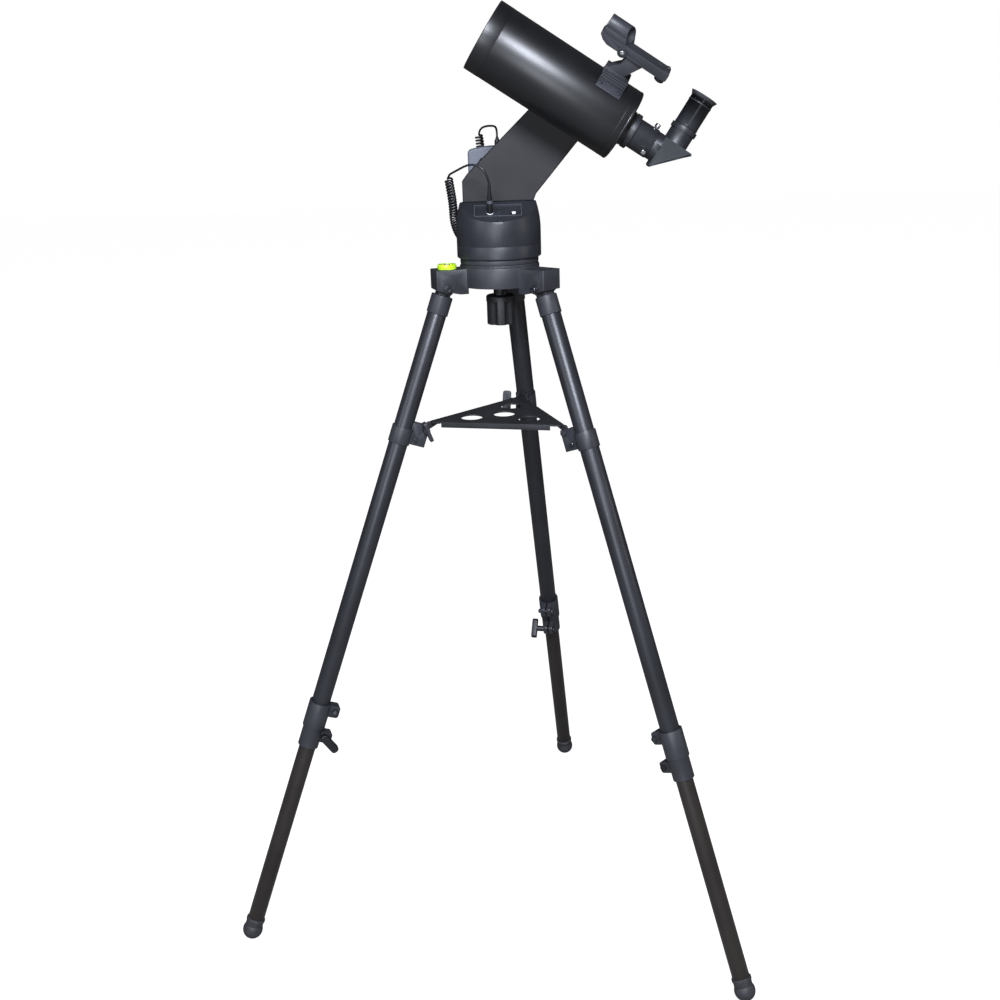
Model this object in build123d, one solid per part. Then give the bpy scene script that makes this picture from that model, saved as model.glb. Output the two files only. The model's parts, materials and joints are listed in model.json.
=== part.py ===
"""Computer-driven telescope on a folding aluminium tripod.

Row frame: the origin is on the floor under the azimuth axis, +Z is up along that axis, and the
optical tube points to -X and up. Sizes are in millimetres and degrees.

The tripod is modelled leg by leg in a leg frame: z runs down the leg from its fold pivot, x points
inward at right angles to the leg, and y runs sideways. The telescope is modelled in a tube frame:
z runs from the rear of the tube to its front, x is the tube's own up, and y points to the arm.
"""
import os
from math import acos, atan2, cos, degrees, hypot, pi, radians, sin, sqrt, tan

from build123d import *

# ---------------------------------------------------------------- tripod
LEG_AZIMUTHS = {"left": 196.91, "right": 316.91, "back": 76.91}
SPLAY = 20.04                 # leg from the vertical
PIVOT_RADIUS = 82.7           # fold pivots from the azimuth axis
LEG_LENGTH = 1049.8           # fold pivot to the centre of the ball foot
FOOT_RADIUS = 15.5
FOOT_FLAT_DROP = 0.2          # worn flat: how much of the ball is missing below
UPPER_TUBE_RADIUS = 14.0
LOWER_TUBE_RADIUS = 12.7
LOWER_TUBE_WALL = 1.2
SLIDE_CLEARANCE = 0.1         # radial, lower tube in the upper tube and in its clamp
SEAT_CLEARANCE = 0.05         # radial, fixed fits
RUN_CLEARANCE = 0.05          # radial, turning fits
AIR_GAP = 0.4                 # between bodies that pass each other

KNUCKLE_TOP = 11.0            # collar on top of the upper tube, down the leg
KNUCKLE_BOTTOM = 38.0
KNUCKLE_RADIUS = 15.5
TONGUE_RADIUS = 12.0
TONGUE_HALF = 9.6
TONGUE_NECK = 9.0
UPPER_TUBE_TOP = 19.0
PIVOT_BOLT_RADIUS = 3.0

CLAMP_TOP = 651.0             # leg lock, down the leg
CLAMP_STEP = 692.0
CLAMP_BOTTOM = 725.0
CLAMP_UPPER_RADIUS = 17.2
CLAMP_LOWER_RADIUS = 15.6
CLAMP_SPLIT_HALF = 1.5
CLAMP_EAR_HALF = 8.0
CLAMP_EAR_REACH = 31.0
CLAMP_UPPER_EAR = (652.0, 671.0)
CLAMP_LOWER_EAR = (697.0, 714.0)
CLAMP_BOLT_OUT = 24.5
CLAMP_BOLT_RADIUS = 2.5
KNOB_STEM_RADIUS = 5.0
KNOB_STEM_LENGTH = 15.0
KNOB_BAR_LENGTH = 35.0
KNOB_BAR_WIDTH = 12.0
KNOB_BAR_DEPTH = 9.0
KNOB_BAR_TURN = 36.0          # bar's angle about the bolt

LOWER_TUBE_TOP = 342.0
FOOT_NECK_RADIUS = 13.6
FOOT_NECK_HEIGHT = 9.0

BRACKET_TOP = 208.0           # tray bracket band, down the leg
BRACKET_BOTTOM = 233.0
BRACKET_WALL = 1.8
EAR_TOP = 198.0
EAR_BOTTOM = 230.0
EAR_REACH = 37.0
EAR_GAP_HALF = 6.0
EAR_THICKNESS = 2.5
TRAY_PIN_DOWN = 203.0
TRAY_PIN_OUT = 31.0
TRAY_PIN_RADIUS = 2.5
BAND_BOLT_DOWN = 221.0
BAND_BOLT_OUT = 21.0
BAND_BOLT_RADIUS = 2.0
WING_LENGTH = 31.0
WING_WIDTH = 13.0
WING_THICKNESS = 5.0
WING_STEM = 12.0
WING_TURN = 50.0

TRAY_INRADIUS = 60.0          # from the middle of the tray to its edges
TRAY_CORNER_RADIUS = 112.0
TRAY_SHEET = 2.0
TRAY_FLANGE = 8.0
TRAY_ABOVE_PIN = 9.0
TRAY_HOLE_RADIUS = 16.0
TRAY_HOLE_OFFSET = 50.0
TAB_HALF_WIDTH = 6.5
TAB_LENGTH = 25.0
TAB_GAP = 0.3
TAB_SLOT_LEAN = 0.35          # how far a front tab's slot widens inward as it rises
MOUTH_HALF = 11.5             # skirt cut away at each corner, for the bracket's ears

HEAD_RADIUS = 57.0
HEAD_ABOVE_PIVOT = 28.4
HEAD_WALL = 5.0
LUG_REACH = 98.5
LUG_HALF = 18.0
LUG_SLOT_HALF = 10.0
LUG_SLOT_INNER = 66.0
LUG_END_WALL = 3.5
LUG_ROOF = 9.0
LEVEL_RADIUS = 13.5
LEVEL_HEIGHT = 6.5
LEVEL_OUT = 78.0

KNOB_RADIUS = 21.0
KNOB_HEIGHT = 42.0
KNOB_BELOW_HEAD = 15.0
KNOB_FLUTES = 6
MOUNT_BOLT_RADIUS = 5.0

# ---------------------------------------------------------------- drum and arm
BASE_PLATE_RADIUS = 56.0
BASE_PLATE_HEIGHT = 11.0
POST_RADIUS = 12.0
POST_HEIGHT = 20.0            # azimuth post above the base plate
DRUM_RADIUS = 60.0
DRUM_TOP_RADIUS = 54.0
DRUM_WALL = 3.0
DRUM_LOWER_HEIGHT = 18.4
DRUM_UPPER_HEIGHT = 57.0
DRUM_STRAIGHT = 22.0          # straight part of the upper drum before it draws in
PANEL_EDGE_Y = -1.6           # where the sloping front starts on the drum's flat top
PANEL_SLOPE = 22.0
PANEL_WIDTH = 62.0
PANEL_DEPTH = 30.0
PANEL_THICKNESS = 2.2
PANEL_RIM = 2.0               # raised border round the panel
PANEL_RIM_HEIGHT = 0.8
PANEL_FROM_EDGE = 27.1        # middle of the panel, down the slope from its upper end
SOCKET_AT = (-11.0, -7.0)     # hand controller's socket on the panel
POWER_SOCKET_AT = (2.0, 2.5)
SOCKET_RADIUS = 3.1
SWITCH_AT = (22.0, -7.0)
SWITCH_SIZE = (5.0, 4.0, 3.0)
SWITCH_TRAVEL = 2.0

GEAR_MODULE = 1.0
GEAR_TEETH = 60
PINION_TEETH = 12
GEAR_WIDTH = 6.0
GEAR_BACKLASH = 0.15
MOTOR_RADIUS = 11.0
MOTOR_SHAFT_RADIUS = 1.5
AZIMUTH_MOTOR_ANGLE = 60.0
AZIMUTH_MOTOR_HEIGHT = 31.0
GEAR_ABOVE_FLOOR = 2.0

ARM_FRONT_Y = 4.0
ARM_BACK_Y = 42.0
ARM_WALL = 2.6
ARM_BASE_LEFT = -49.5
ARM_BASE_RIGHT = 50.9
ARM_LEFT_KNEE = (-42.8, 37.7)     # x, and height above the drum's top
ARM_LEFT_SHOULDER = 29.0
ARM_RIGHT_KNEE = (54.7, 9.3)
ARM_END_RADIUS = 37.0
ALTITUDE_X = 114.5
ALTITUDE_ABOVE_DRUM = 135.6
HUB_RADIUS = 31.0
HUB_THICKNESS = 7.0
HUB_SHAFT_RADIUS = 12.0
ALTITUDE_GEAR_Y = 12.0
BAR_HALF_BASE = 17.0          # dovetail bar under the tube
BAR_HALF_TOP = 13.0
BAR_LENGTH = 118.0
SADDLE_SCREW_RADIUS = 2.5

HANDSET_WIDTH = 76.0
HANDSET_X = -3.5
HANDSET_BOTTOM = 1064.0 - 1117.0  # from the drum's top
HANDSET_HEIGHT = 127.5
HANDSET_CROWN = 5.5
HANDSET_Y = DRUM_RADIUS + 2.0
HANDSET_DEPTH = 24.0
CRADLE_WIDTH = 44.0
CRADLE_HEIGHT = 52.0
KEY_ROWS = 5
KEY_COLUMNS = 3

# ---------------------------------------------------------------- telescope
ELEVATION = 33.164
TUBE_RADIUS = 48.6
TUBE_Y = -(TUBE_RADIUS + 13.4)  # room for the dovetail bar and the hub
TUBE_WALL = 1.3
TUBE_LENGTH = 221.7
AXIS_FROM_REAR = 69.0
FRONT_CELL_LENGTH = 20.7
FRONT_CELL_STEP = 0.15        # the cell stands this much proud of the tube
CELL_SPIGOT = 8.0
REAR_CELL_RIM = 4.0
REAR_PLATE = 6.0
LENS_RADIUS = 45.0
LENS_THICKNESS = 8.0
LENS_SETBACK = 6.0
LENS_CURVE = 130.0
BAFFLE_RADIUS = 15.0
BAFFLE_LENGTH = 105.0
MIRROR_RADIUS = 44.5
MIRROR_AT = 20.0
MIRROR_THICKNESS = 10.0
FOCUS_KNOB_AT = 34.0
FOCUS_KNOB_RADIUS = 8.0
FOCUS_KNOB_LENGTH = 13.0
BOSS_RADIUS = 24.0
BOSS_LENGTH = 6.3
NECK_RADIUS = 22.0
FLANGE_RADIUS = 24.3
FLANGE_START = 8.0
FLANGE_END = 15.0
BACK_RADIUS = 20.4
BACK_END = 44.2
BARREL_RADIUS = 15.875        # the 1.25 inch standard
THUMB_ANGLES = (82.0, -38.0)  # about the tube axis, from the side away from the arm
THUMB_AT = 38.0
COLLAR_RADIUS = 19.4
COLLAR_START = 44.6
DIAGONAL_START = 53.9
DIAGONAL_END = 95.5
DIAGONAL_TOP = 17.4
DIAGONAL_BOTTOM = -25.6
DIAGONAL_HALF = 19.0
DIAGONAL_WALL = 2.2
EYE_AXIS = 70.8               # eyepiece axis, behind the tube
HOLDER_RADIUS = 17.0
HOLDER_TOP = 34.6
RING_RADIUS = 18.7
RING_TOP = 41.2
EYEPIECE_RADIUS = 16.4
EYEPIECE_TOP = 82.0
CUP_RADIUS = 19.6
CUP_TOP = 87.8

FINDER_ROLL = 28.0            # finder's plane, from the tube's up towards the open side
SHOE_START = 27.8
SHOE_END = 63.7
SHOE_SPREAD = 34.0
SHOE_PLATE = 2.2
SHOE_HALF = 17.5
SHOE_TOP = TUBE_RADIUS + 8.9    # heights in the finder's plane are from the tube's axis
SHOE_SCREW_ANGLE = 27.6
FOOT_BOTTOM = TUBE_RADIUS + 3.4
RAIL_HALF = 11.0
RAIL_BOTTOM = TUBE_RADIUS + 36.7
RAIL_TOP = TUBE_RADIUS + 48.9
RAIL_REAR = -10.5
RAIL_FRONT = 92.0
FINDER_PIVOT = (TUBE_RADIUS + 40.4, 56.0)
WEB_HALF = 4.0
HOOD_RADIUS = 11.0
HOOD_BORE = 9.2
HOOD_AXIS = TUBE_RADIUS + 59.6
HOOD_REAR = 57.0              # where the slanted rear of the hood crosses its axis
HOOD_LEAN_UP = 0.42           # how fast that cut moves forward, upwards
HOOD_LEAN_SIDE = 0.42         # and towards the open side
CRADLE_DROP = 3.6             # top of the cradle below the hood's axis
PIVOT_SCREW_RADIUS = 2.0
PIVOT_WASHER_RADIUS = 6.6
FINDER_KNOB_RADIUS = 7.0
FINDER_KNOB_HEIGHT = 6.4
FINDER_KNOB_AT = -3.2
FINDER_STEM_RADIUS = 2.0

# ---------------------------------------------------------------- hand controller's cord
CORD_DIAMETER = 3.0
COIL_DIAMETER = 13.4
PLUG_LENGTH = 42.0
PLUG_RADIUS = 3.6
LEAD_FRONT_ROUTE = [
    (-11.0, -48.9, 1143.2), (-12.2, -53.0, 1153.5), (-17.5, -55.5, 1163.5), (-27.0, -52.5, 1170.5),
    (-39.5, -43.5, 1170.6), (-51.5, -29.0, 1164.5), (-62.5, -12.0, 1158.0), (-68.3, 4.0, 1153.2),
    (-67.0, 8.0, 1142.0),
]
COIL_ROUTE = [
    (-67.0, 8.0, 1142.0), (-63.8, 18.0, 1114.0), (-64.0, 31.0, 1086.0), (-55.5, 51.0, 1062.5),
    (-41.0, 73.0, 1050.0), (-23.0, 92.5, 1052.5), (-14.0, 103.5, 1075.0), (-13.5, 106.5, 1105.0),
    (-16.5, 105.5, 1137.0), (-21.0, 102.0, 1169.0), (-24.5, 98.0, 1200.0),
]
LEAD_BACK_ROUTE = [
    (-24.5, 98.0, 1200.0), (-25.3, 97.1, 1208.5), (-19.8, 94.8, 1215.5), (-10.5, 90.5, 1218.5),
    (-1.8, 85.3, 1218.1), (0.8, 78.0, 1215.7), (1.8, 74.0, 1210.0), (1.8, 74.0, 1203.0),
]
LIMP_DIAMETERS = 3.0

# ---------------------------------------------------------------- places that follow
BASE = (Align.CENTER, Align.CENTER, Align.MIN)
PIVOT_Z = LEG_LENGTH * cos(radians(SPLAY)) + FOOT_RADIUS - FOOT_FLAT_DROP
HEAD_TOP_Z = PIVOT_Z + HEAD_ABOVE_PIVOT
HEAD_BOTTOM_Z = PIVOT_Z
BASE_TOP_Z = HEAD_TOP_Z + BASE_PLATE_HEIGHT
DRUM_FLOOR_Z = BASE_TOP_Z + AIR_GAP
SEAM_Z = DRUM_FLOOR_Z + DRUM_LOWER_HEIGHT
DRUM_TOP_Z = SEAM_Z + DRUM_UPPER_HEIGHT
ALTITUDE_Z = DRUM_TOP_Z + ALTITUDE_ABOVE_DRUM
GEAR_RADIUS = GEAR_MODULE * GEAR_TEETH / 2
PINION_RADIUS = GEAR_MODULE * PINION_TEETH / 2
GEAR_CENTRES = GEAR_RADIUS + PINION_RADIUS
GEAR_Z = DRUM_FLOOR_Z + DRUM_WALL + GEAR_ABOVE_FLOOR
ARM_SPLIT_Y = (ARM_FRONT_Y + ARM_BACK_Y) / 2
BRACKET_RADIUS = UPPER_TUBE_RADIUS + SEAT_CLEARANCE + BRACKET_WALL
EAR_OUTER = EAR_GAP_HALF + EAR_THICKNESS
FRONT_CELL_START = TUBE_LENGTH - FRONT_CELL_LENGTH


# ---------------------------------------------------------------- helpers
def rod(radius, start, stop):
    """Round bar along local z."""
    return Pos(0, 0, start) * Cylinder(radius, stop - start, align=BASE)


def sleeve(outer, inner, start, stop):
    """Tube along local z."""
    return rod(outer, start, stop) - rod(inner, start - 1, stop + 1)


def block(x_range, y_range, z_range):
    """Box between two corners."""
    size = [high - low for low, high in (x_range, y_range, z_range)]
    low = (x_range[0], y_range[0], z_range[0])
    return Pos(*low) * Box(*size, align=(Align.MIN, Align.MIN, Align.MIN))


def cross_rod(radius, x, z, start, stop):
    """Round bar along local y, through (x, z)."""
    return Pos(x, start, z) * Rot(-90, 0, 0) * Cylinder(radius, stop - start, align=BASE)


def up_rod(radius, y, z, start, stop):
    """Round bar along local x, through (y, z)."""
    return Pos(start, y, z) * Rot(0, 90, 0) * Cylinder(radius, stop - start, align=BASE)


def turned(points):
    """Solid of revolution about z, from (radius, height) points that end on the axis."""
    with BuildPart() as part:
        with BuildSketch(Plane.XZ):
            with BuildLine():
                Polyline(*points, close=True)
            make_face()
        revolve(axis=Axis.Z)
    return part.part


def side_plate(points, y_range):
    """Plate with an outline of (x, z) points, between two y values."""
    with BuildPart() as part:
        with BuildSketch(Plane.XZ.offset(-y_range[0])):
            with BuildLine():
                Polyline(*points, close=True)
            make_face()
        extrude(amount=-(y_range[1] - y_range[0]))
    return part.part


def group(*solids):
    """Several separate solids in one node."""
    return Compound(children=[part for solid in solids for part in solid.solids()])


def save(name, shape, place=None):
    """Write one node in the row frame."""
    placed = shape if place is None else shape.moved(place.location)
    export_step(placed, f"parts/{name}.step")


def leg_frame(azimuth):
    out = Vector(cos(radians(azimuth)), sin(radians(azimuth)), 0)
    up = Vector(0, 0, 1)
    lean = radians(SPLAY)
    down_leg = out * sin(lean) - up * cos(lean)
    inward = out * -cos(lean) - up * sin(lean)
    return Plane(origin=out * PIVOT_RADIUS + up * PIVOT_Z, x_dir=inward, z_dir=down_leg)


def tube_frame():
    lean = radians(ELEVATION)
    forward = Vector(-cos(lean), 0, sin(lean))
    up = Vector(sin(lean), 0, cos(lean))
    axis_point = Vector(ALTITUDE_X, TUBE_Y, ALTITUDE_Z)
    return Plane(origin=axis_point - forward * AXIS_FROM_REAR, x_dir=up, z_dir=forward)


def finder_frame():
    return Plane(tube_frame().location * Rot(0, 0, -FINDER_ROLL))


def panel_frame():
    lean = radians(PANEL_SLOPE)
    middle = Vector(0, PANEL_EDGE_Y - PANEL_FROM_EDGE * cos(lean), DRUM_TOP_Z - PANEL_FROM_EDGE * sin(lean))
    return Plane(origin=middle, x_dir=(1, 0, 0), z_dir=(0, -sin(lean), cos(lean)))


def gear_blank(teeth, width, bore):
    """Spur gear with straight-sided low teeth, so that a pair runs with backlash."""
    pitch_radius = GEAR_MODULE * teeth / 2
    tip = pitch_radius + 0.6 * GEAR_MODULE - GEAR_BACKLASH / 2
    root = pitch_radius - 0.9 * GEAR_MODULE
    tooth_tip = 0.45 * GEAR_MODULE
    tooth_root = 0.85 * GEAR_MODULE - GEAR_BACKLASH
    points = []
    for index in range(teeth):
        middle = 2 * pi * index / teeth
        for radius, half in ((root, -tooth_root), (tip, -tooth_tip), (tip, tooth_tip), (root, tooth_root)):
            angle = middle + half / pitch_radius
            points.append((radius * cos(angle), radius * sin(angle)))
    with BuildPart() as part:
        with BuildSketch():
            with BuildLine():
                Polyline(*points, close=True)
            make_face()
            if bore:
                Circle(bore, mode=Mode.SUBTRACT)
        extrude(amount=width)
    return part.part


# ---------------------------------------------------------------- tripod head
def tripod_head():
    body = rod(HEAD_RADIUS, HEAD_BOTTOM_Z, HEAD_TOP_Z)
    body -= rod(HEAD_RADIUS - HEAD_WALL, HEAD_BOTTOM_Z - 1, HEAD_TOP_Z - HEAD_WALL - 4)
    for azimuth in LEG_AZIMUTHS.values():
        body += Rot(0, 0, azimuth) * lug()
    for azimuth in LEG_AZIMUTHS.values():
        body -= Rot(0, 0, azimuth) * lug_slot()
    boss = rod(KNOB_RADIUS - 3, HEAD_BOTTOM_Z, HEAD_TOP_Z - HEAD_WALL)
    return body + boss - rod(MOUNT_BOLT_RADIUS + RUN_CLEARANCE, HEAD_BOTTOM_Z - 1, HEAD_TOP_Z + 1)


def lug():
    """One lug that holds a leg, along +x."""
    low_inner = PIVOT_Z - 8.5
    low_outer = PIVOT_Z - 1.0
    inner = HEAD_RADIUS - HEAD_WALL
    outline = [
        (inner, low_inner), (LUG_SLOT_INNER - 2, low_inner), (LUG_REACH, low_outer),
        (LUG_REACH, HEAD_TOP_Z - 2), (inner, HEAD_TOP_Z - 2),
    ]
    cheeks = side_plate(outline, (-LUG_HALF, LUG_HALF))
    cheeks = fillet(cheeks.edges().filter_by(Axis.Z).group_by(Axis.X)[-1], 2.0)
    boss_z = PIVOT_Z + 8
    bosses = cross_rod(11.5, PIVOT_RADIUS - 2, boss_z, -LUG_HALF - 1.0, LUG_HALF + 1.0)
    return cheeks + bosses


def lug_slot():
    """Room for a leg's tongue over its whole swing, and its bolt hole."""
    z_range = (PIVOT_Z - 12, HEAD_TOP_Z - LUG_ROOF)
    slot = block((LUG_SLOT_INNER, LUG_REACH - LUG_END_WALL), (-LUG_SLOT_HALF, LUG_SLOT_HALF), z_range)
    hole = cross_rod(PIVOT_BOLT_RADIUS + RUN_CLEARANCE, PIVOT_RADIUS, PIVOT_Z, -30, 30)
    return slot + hole


def bubble_level():
    low = HEAD_TOP_Z - 2
    cup = rod(LEVEL_RADIUS, low, low + LEVEL_HEIGHT)
    cup = fillet(cup.edges().group_by(Axis.Z)[-1], 1.2)
    place = Rot(0, 0, LEG_AZIMUTHS["left"]) * Pos(LEVEL_OUT, 0, 0)
    return place * cup


def leg_pivot_bolts():
    bolts = []
    for azimuth in LEG_AZIMUTHS.values():
        shank = cross_rod(PIVOT_BOLT_RADIUS, PIVOT_RADIUS, PIVOT_Z, -LUG_HALF - 2, LUG_HALF + 2)
        head = cross_rod(5.0, PIVOT_RADIUS, PIVOT_Z, -LUG_HALF - 5, -LUG_HALF - 1.05)
        nut = cross_rod(5.4, PIVOT_RADIUS, PIVOT_Z, LUG_HALF + 1.05, LUG_HALF + 5)
        bolts.append(Rot(0, 0, azimuth) * (shank + head + nut))
    return bolts


def mount_knob():
    top = HEAD_BOTTOM_Z - KNOB_BELOW_HEAD
    body = rod(KNOB_RADIUS, top - KNOB_HEIGHT, top)
    body = fillet(body.edges().group_by(Axis.Z)[-1], 3)
    body = fillet(body.edges().group_by(Axis.Z)[0], 2)
    for index in range(KNOB_FLUTES):
        flute = Pos(KNOB_RADIUS + 2.5, 0, top - KNOB_HEIGHT - 1) * Cylinder(6.5, KNOB_HEIGHT - 8, align=BASE)
        body -= Rot(0, 0, 360 * index / KNOB_FLUTES) * flute
    neck = rod(10.0, top, HEAD_BOTTOM_Z - AIR_GAP)
    bolt = rod(MOUNT_BOLT_RADIUS, top, HEAD_TOP_Z + 7)
    return body + neck + bolt


# ---------------------------------------------------------------- legs, in the leg frame
def leg_knuckle():
    tongue = cross_rod(TONGUE_RADIUS, 0, 0, -TONGUE_HALF, TONGUE_HALF)
    tongue += block((-TONGUE_NECK, TONGUE_NECK), (-TONGUE_HALF, TONGUE_HALF), (0, KNUCKLE_TOP + 1))
    collar = rod(KNUCKLE_RADIUS, KNUCKLE_TOP, KNUCKLE_BOTTOM)
    collar = fillet(collar.edges().group_by(Axis.Z)[0], 1.5)
    bore = rod(UPPER_TUBE_RADIUS + SEAT_CLEARANCE, UPPER_TUBE_TOP, KNUCKLE_BOTTOM + 1)
    hole = cross_rod(PIVOT_BOLT_RADIUS + RUN_CLEARANCE, 0, 0, -30, 30)
    return tongue + collar - bore - hole


def leg_upper_tube():
    bore = LOWER_TUBE_RADIUS + SLIDE_CLEARANCE
    return sleeve(UPPER_TUBE_RADIUS, bore, UPPER_TUBE_TOP, CLAMP_STEP - 2)


def tray_bracket():
    """Band round the leg with two ears, its bolt, and the tray's wing screw."""
    band_bore = UPPER_TUBE_RADIUS + SEAT_CLEARANCE
    band = sleeve(BRACKET_RADIUS, band_bore, BRACKET_TOP, BRACKET_BOTTOM)
    plate = block((4, EAR_REACH), (-EAR_OUTER, EAR_OUTER), (EAR_TOP, EAR_BOTTOM))
    gap = block((band_bore - 4, EAR_REACH + 1), (-EAR_GAP_HALF, EAR_GAP_HALF), (EAR_TOP - 1, EAR_BOTTOM + 1))
    shape = band + plate - gap - rod(band_bore, EAR_TOP - 1, EAR_BOTTOM + 1)
    shape -= cross_rod(TRAY_PIN_RADIUS + RUN_CLEARANCE, TRAY_PIN_OUT, TRAY_PIN_DOWN, -20, 20)
    shape -= cross_rod(BAND_BOLT_RADIUS + RUN_CLEARANCE, BAND_BOLT_OUT, BAND_BOLT_DOWN, -20, 20)
    bolt = cross_rod(BAND_BOLT_RADIUS, BAND_BOLT_OUT, BAND_BOLT_DOWN, -EAR_OUTER - 1, EAR_OUTER + 1)
    for side in (-1, 1):
        ends = sorted((side * (EAR_OUTER + 0.05), side * (EAR_OUTER + 2.6)))
        bolt += cross_rod(3.4, BAND_BOLT_OUT, BAND_BOLT_DOWN, *ends)
    return group(shape, bolt, tray_screw())


def tray_screw():
    """Wing screw through both ears: head on one side, flat wing on the other."""
    x, z = TRAY_PIN_OUT, TRAY_PIN_DOWN
    screw = cross_rod(TRAY_PIN_RADIUS, x, z, -EAR_OUTER - 1, EAR_OUTER + WING_STEM)
    screw += cross_rod(4.6, x, z, -EAR_OUTER - 3.0, -EAR_OUTER - 0.05)
    screw += cross_rod(4.5, x, z, EAR_OUTER + 0.05, EAR_OUTER + WING_STEM)
    half = WING_LENGTH / 2
    wing = block((-half, half), (0, WING_WIDTH), (-WING_THICKNESS / 2, WING_THICKNESS / 2))
    wing = fillet(wing.edges().filter_by(Axis.Z), 4.0)
    wing = fillet(wing.edges().filter_by(Axis.X), 1.0)
    return screw + Pos(x, EAR_OUTER + WING_STEM - 3, z) * Rot(0, -WING_TURN, 0) * wing


def leg_clamp():
    upper_bore = UPPER_TUBE_RADIUS + SEAT_CLEARANCE
    lower_bore = LOWER_TUBE_RADIUS + SLIDE_CLEARANCE
    body = rod(CLAMP_UPPER_RADIUS, CLAMP_TOP, CLAMP_STEP) + rod(CLAMP_LOWER_RADIUS, CLAMP_STEP, CLAMP_BOTTOM)
    body = fillet(body.edges().group_by(Axis.Z)[-1], 1.0)
    for low, high in (CLAMP_UPPER_EAR, CLAMP_LOWER_EAR):
        ears = block((0, CLAMP_EAR_REACH), (-CLAMP_EAR_HALF, CLAMP_EAR_HALF), (low, high))
        body += fillet(ears.edges().filter_by(Axis.Y).group_by(Axis.X)[-1], 4.0)
    body -= rod(upper_bore, CLAMP_TOP - 1, CLAMP_STEP - 2) + rod(lower_bore, CLAMP_STEP - 3, CLAMP_BOTTOM + 1)
    split = (-CLAMP_SPLIT_HALF, CLAMP_SPLIT_HALF)
    body -= block((5, CLAMP_EAR_REACH + 1), split, (CLAMP_TOP - 1, CLAMP_BOTTOM + 1))
    for low, high in (CLAMP_UPPER_EAR, CLAMP_LOWER_EAR):
        body -= cross_rod(CLAMP_BOLT_RADIUS + RUN_CLEARANCE, CLAMP_BOLT_OUT, (low + high) / 2, -20, 20)
    return group(body, clamp_bolt())


def clamp_bolt():
    """Fixed bolt through the upper pair of ears."""
    at = sum(CLAMP_UPPER_EAR) / 2
    bolt = cross_rod(CLAMP_BOLT_RADIUS, CLAMP_BOLT_OUT, at, -CLAMP_EAR_HALF - 1, CLAMP_EAR_HALF + 1)
    bolt += cross_rod(4.2, CLAMP_BOLT_OUT, at, -CLAMP_EAR_HALF - 3, -CLAMP_EAR_HALF - 0.05)
    return bolt + cross_rod(4.2, CLAMP_BOLT_OUT, at, CLAMP_EAR_HALF + 0.05, CLAMP_EAR_HALF + 3)


def clamp_knob():
    """T-shaped lock knob with its bolt through the lower ears."""
    x = CLAMP_BOLT_OUT
    z = sum(CLAMP_LOWER_EAR) / 2
    stem_start = CLAMP_EAR_HALF + 0.3
    stem_end = stem_start + KNOB_STEM_LENGTH
    knob = cross_rod(CLAMP_BOLT_RADIUS, x, z, -CLAMP_EAR_HALF - 1, stem_end)
    knob += cross_rod(4.4, x, z, -CLAMP_EAR_HALF - 3.3, -CLAMP_EAR_HALF - 0.3)
    knob += cross_rod(KNOB_STEM_RADIUS, x, z, stem_start, stem_end)
    half = KNOB_BAR_LENGTH / 2
    bar = block((-half, half), (0, KNOB_BAR_DEPTH), (-KNOB_BAR_WIDTH / 2, KNOB_BAR_WIDTH / 2))
    bar = fillet(bar.edges().filter_by(Axis.Y), 5.0)
    bar = fillet(bar.edges().group_by(Axis.Y)[-1], 1.5)
    return knob + Pos(x, stem_end - 2, z) * Rot(0, -KNOB_BAR_TURN, 0) * bar


def leg_lower_tube():
    end = LEG_LENGTH - FOOT_RADIUS - FOOT_NECK_HEIGHT + 3
    return sleeve(LOWER_TUBE_RADIUS, LOWER_TUBE_RADIUS - LOWER_TUBE_WALL, LOWER_TUBE_TOP, end)


def leg_foot():
    """Ball foot with a neck and a plug inside the tube, and the worn flat that meets the floor."""
    tube_end = LEG_LENGTH - FOOT_RADIUS - FOOT_NECK_HEIGHT + 3
    ball = Pos(0, 0, LEG_LENGTH) * Sphere(FOOT_RADIUS)
    neck = rod(FOOT_NECK_RADIUS, tube_end, LEG_LENGTH - 9)
    plug = rod(LOWER_TUBE_RADIUS - LOWER_TUBE_WALL - SEAT_CLEARANCE, tube_end - 18, tube_end)
    cut = Pos(0, 0, LEG_LENGTH) * Rot(0, SPLAY, 0)
    below = block((-30, 30), (-30, 30), (FOOT_RADIUS - FOOT_FLAT_DROP, 40))
    return ball + neck + plug - cut * below


def save_leg(name, azimuth):
    frame = leg_frame(azimuth)
    save(f"leg_knuckle_{name}", leg_knuckle(), frame)
    save(f"leg_upper_tube_{name}", leg_upper_tube(), frame)
    save(f"tray_bracket_{name}", tray_bracket(), frame)
    save(f"leg_clamp_{name}", leg_clamp(), frame)
    save(f"clamp_knob_{name}", clamp_knob(), frame)
    save(f"leg_lower_tube_{name}", leg_lower_tube(), frame)
    save(f"foot_{name}", leg_foot(), frame)


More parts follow.
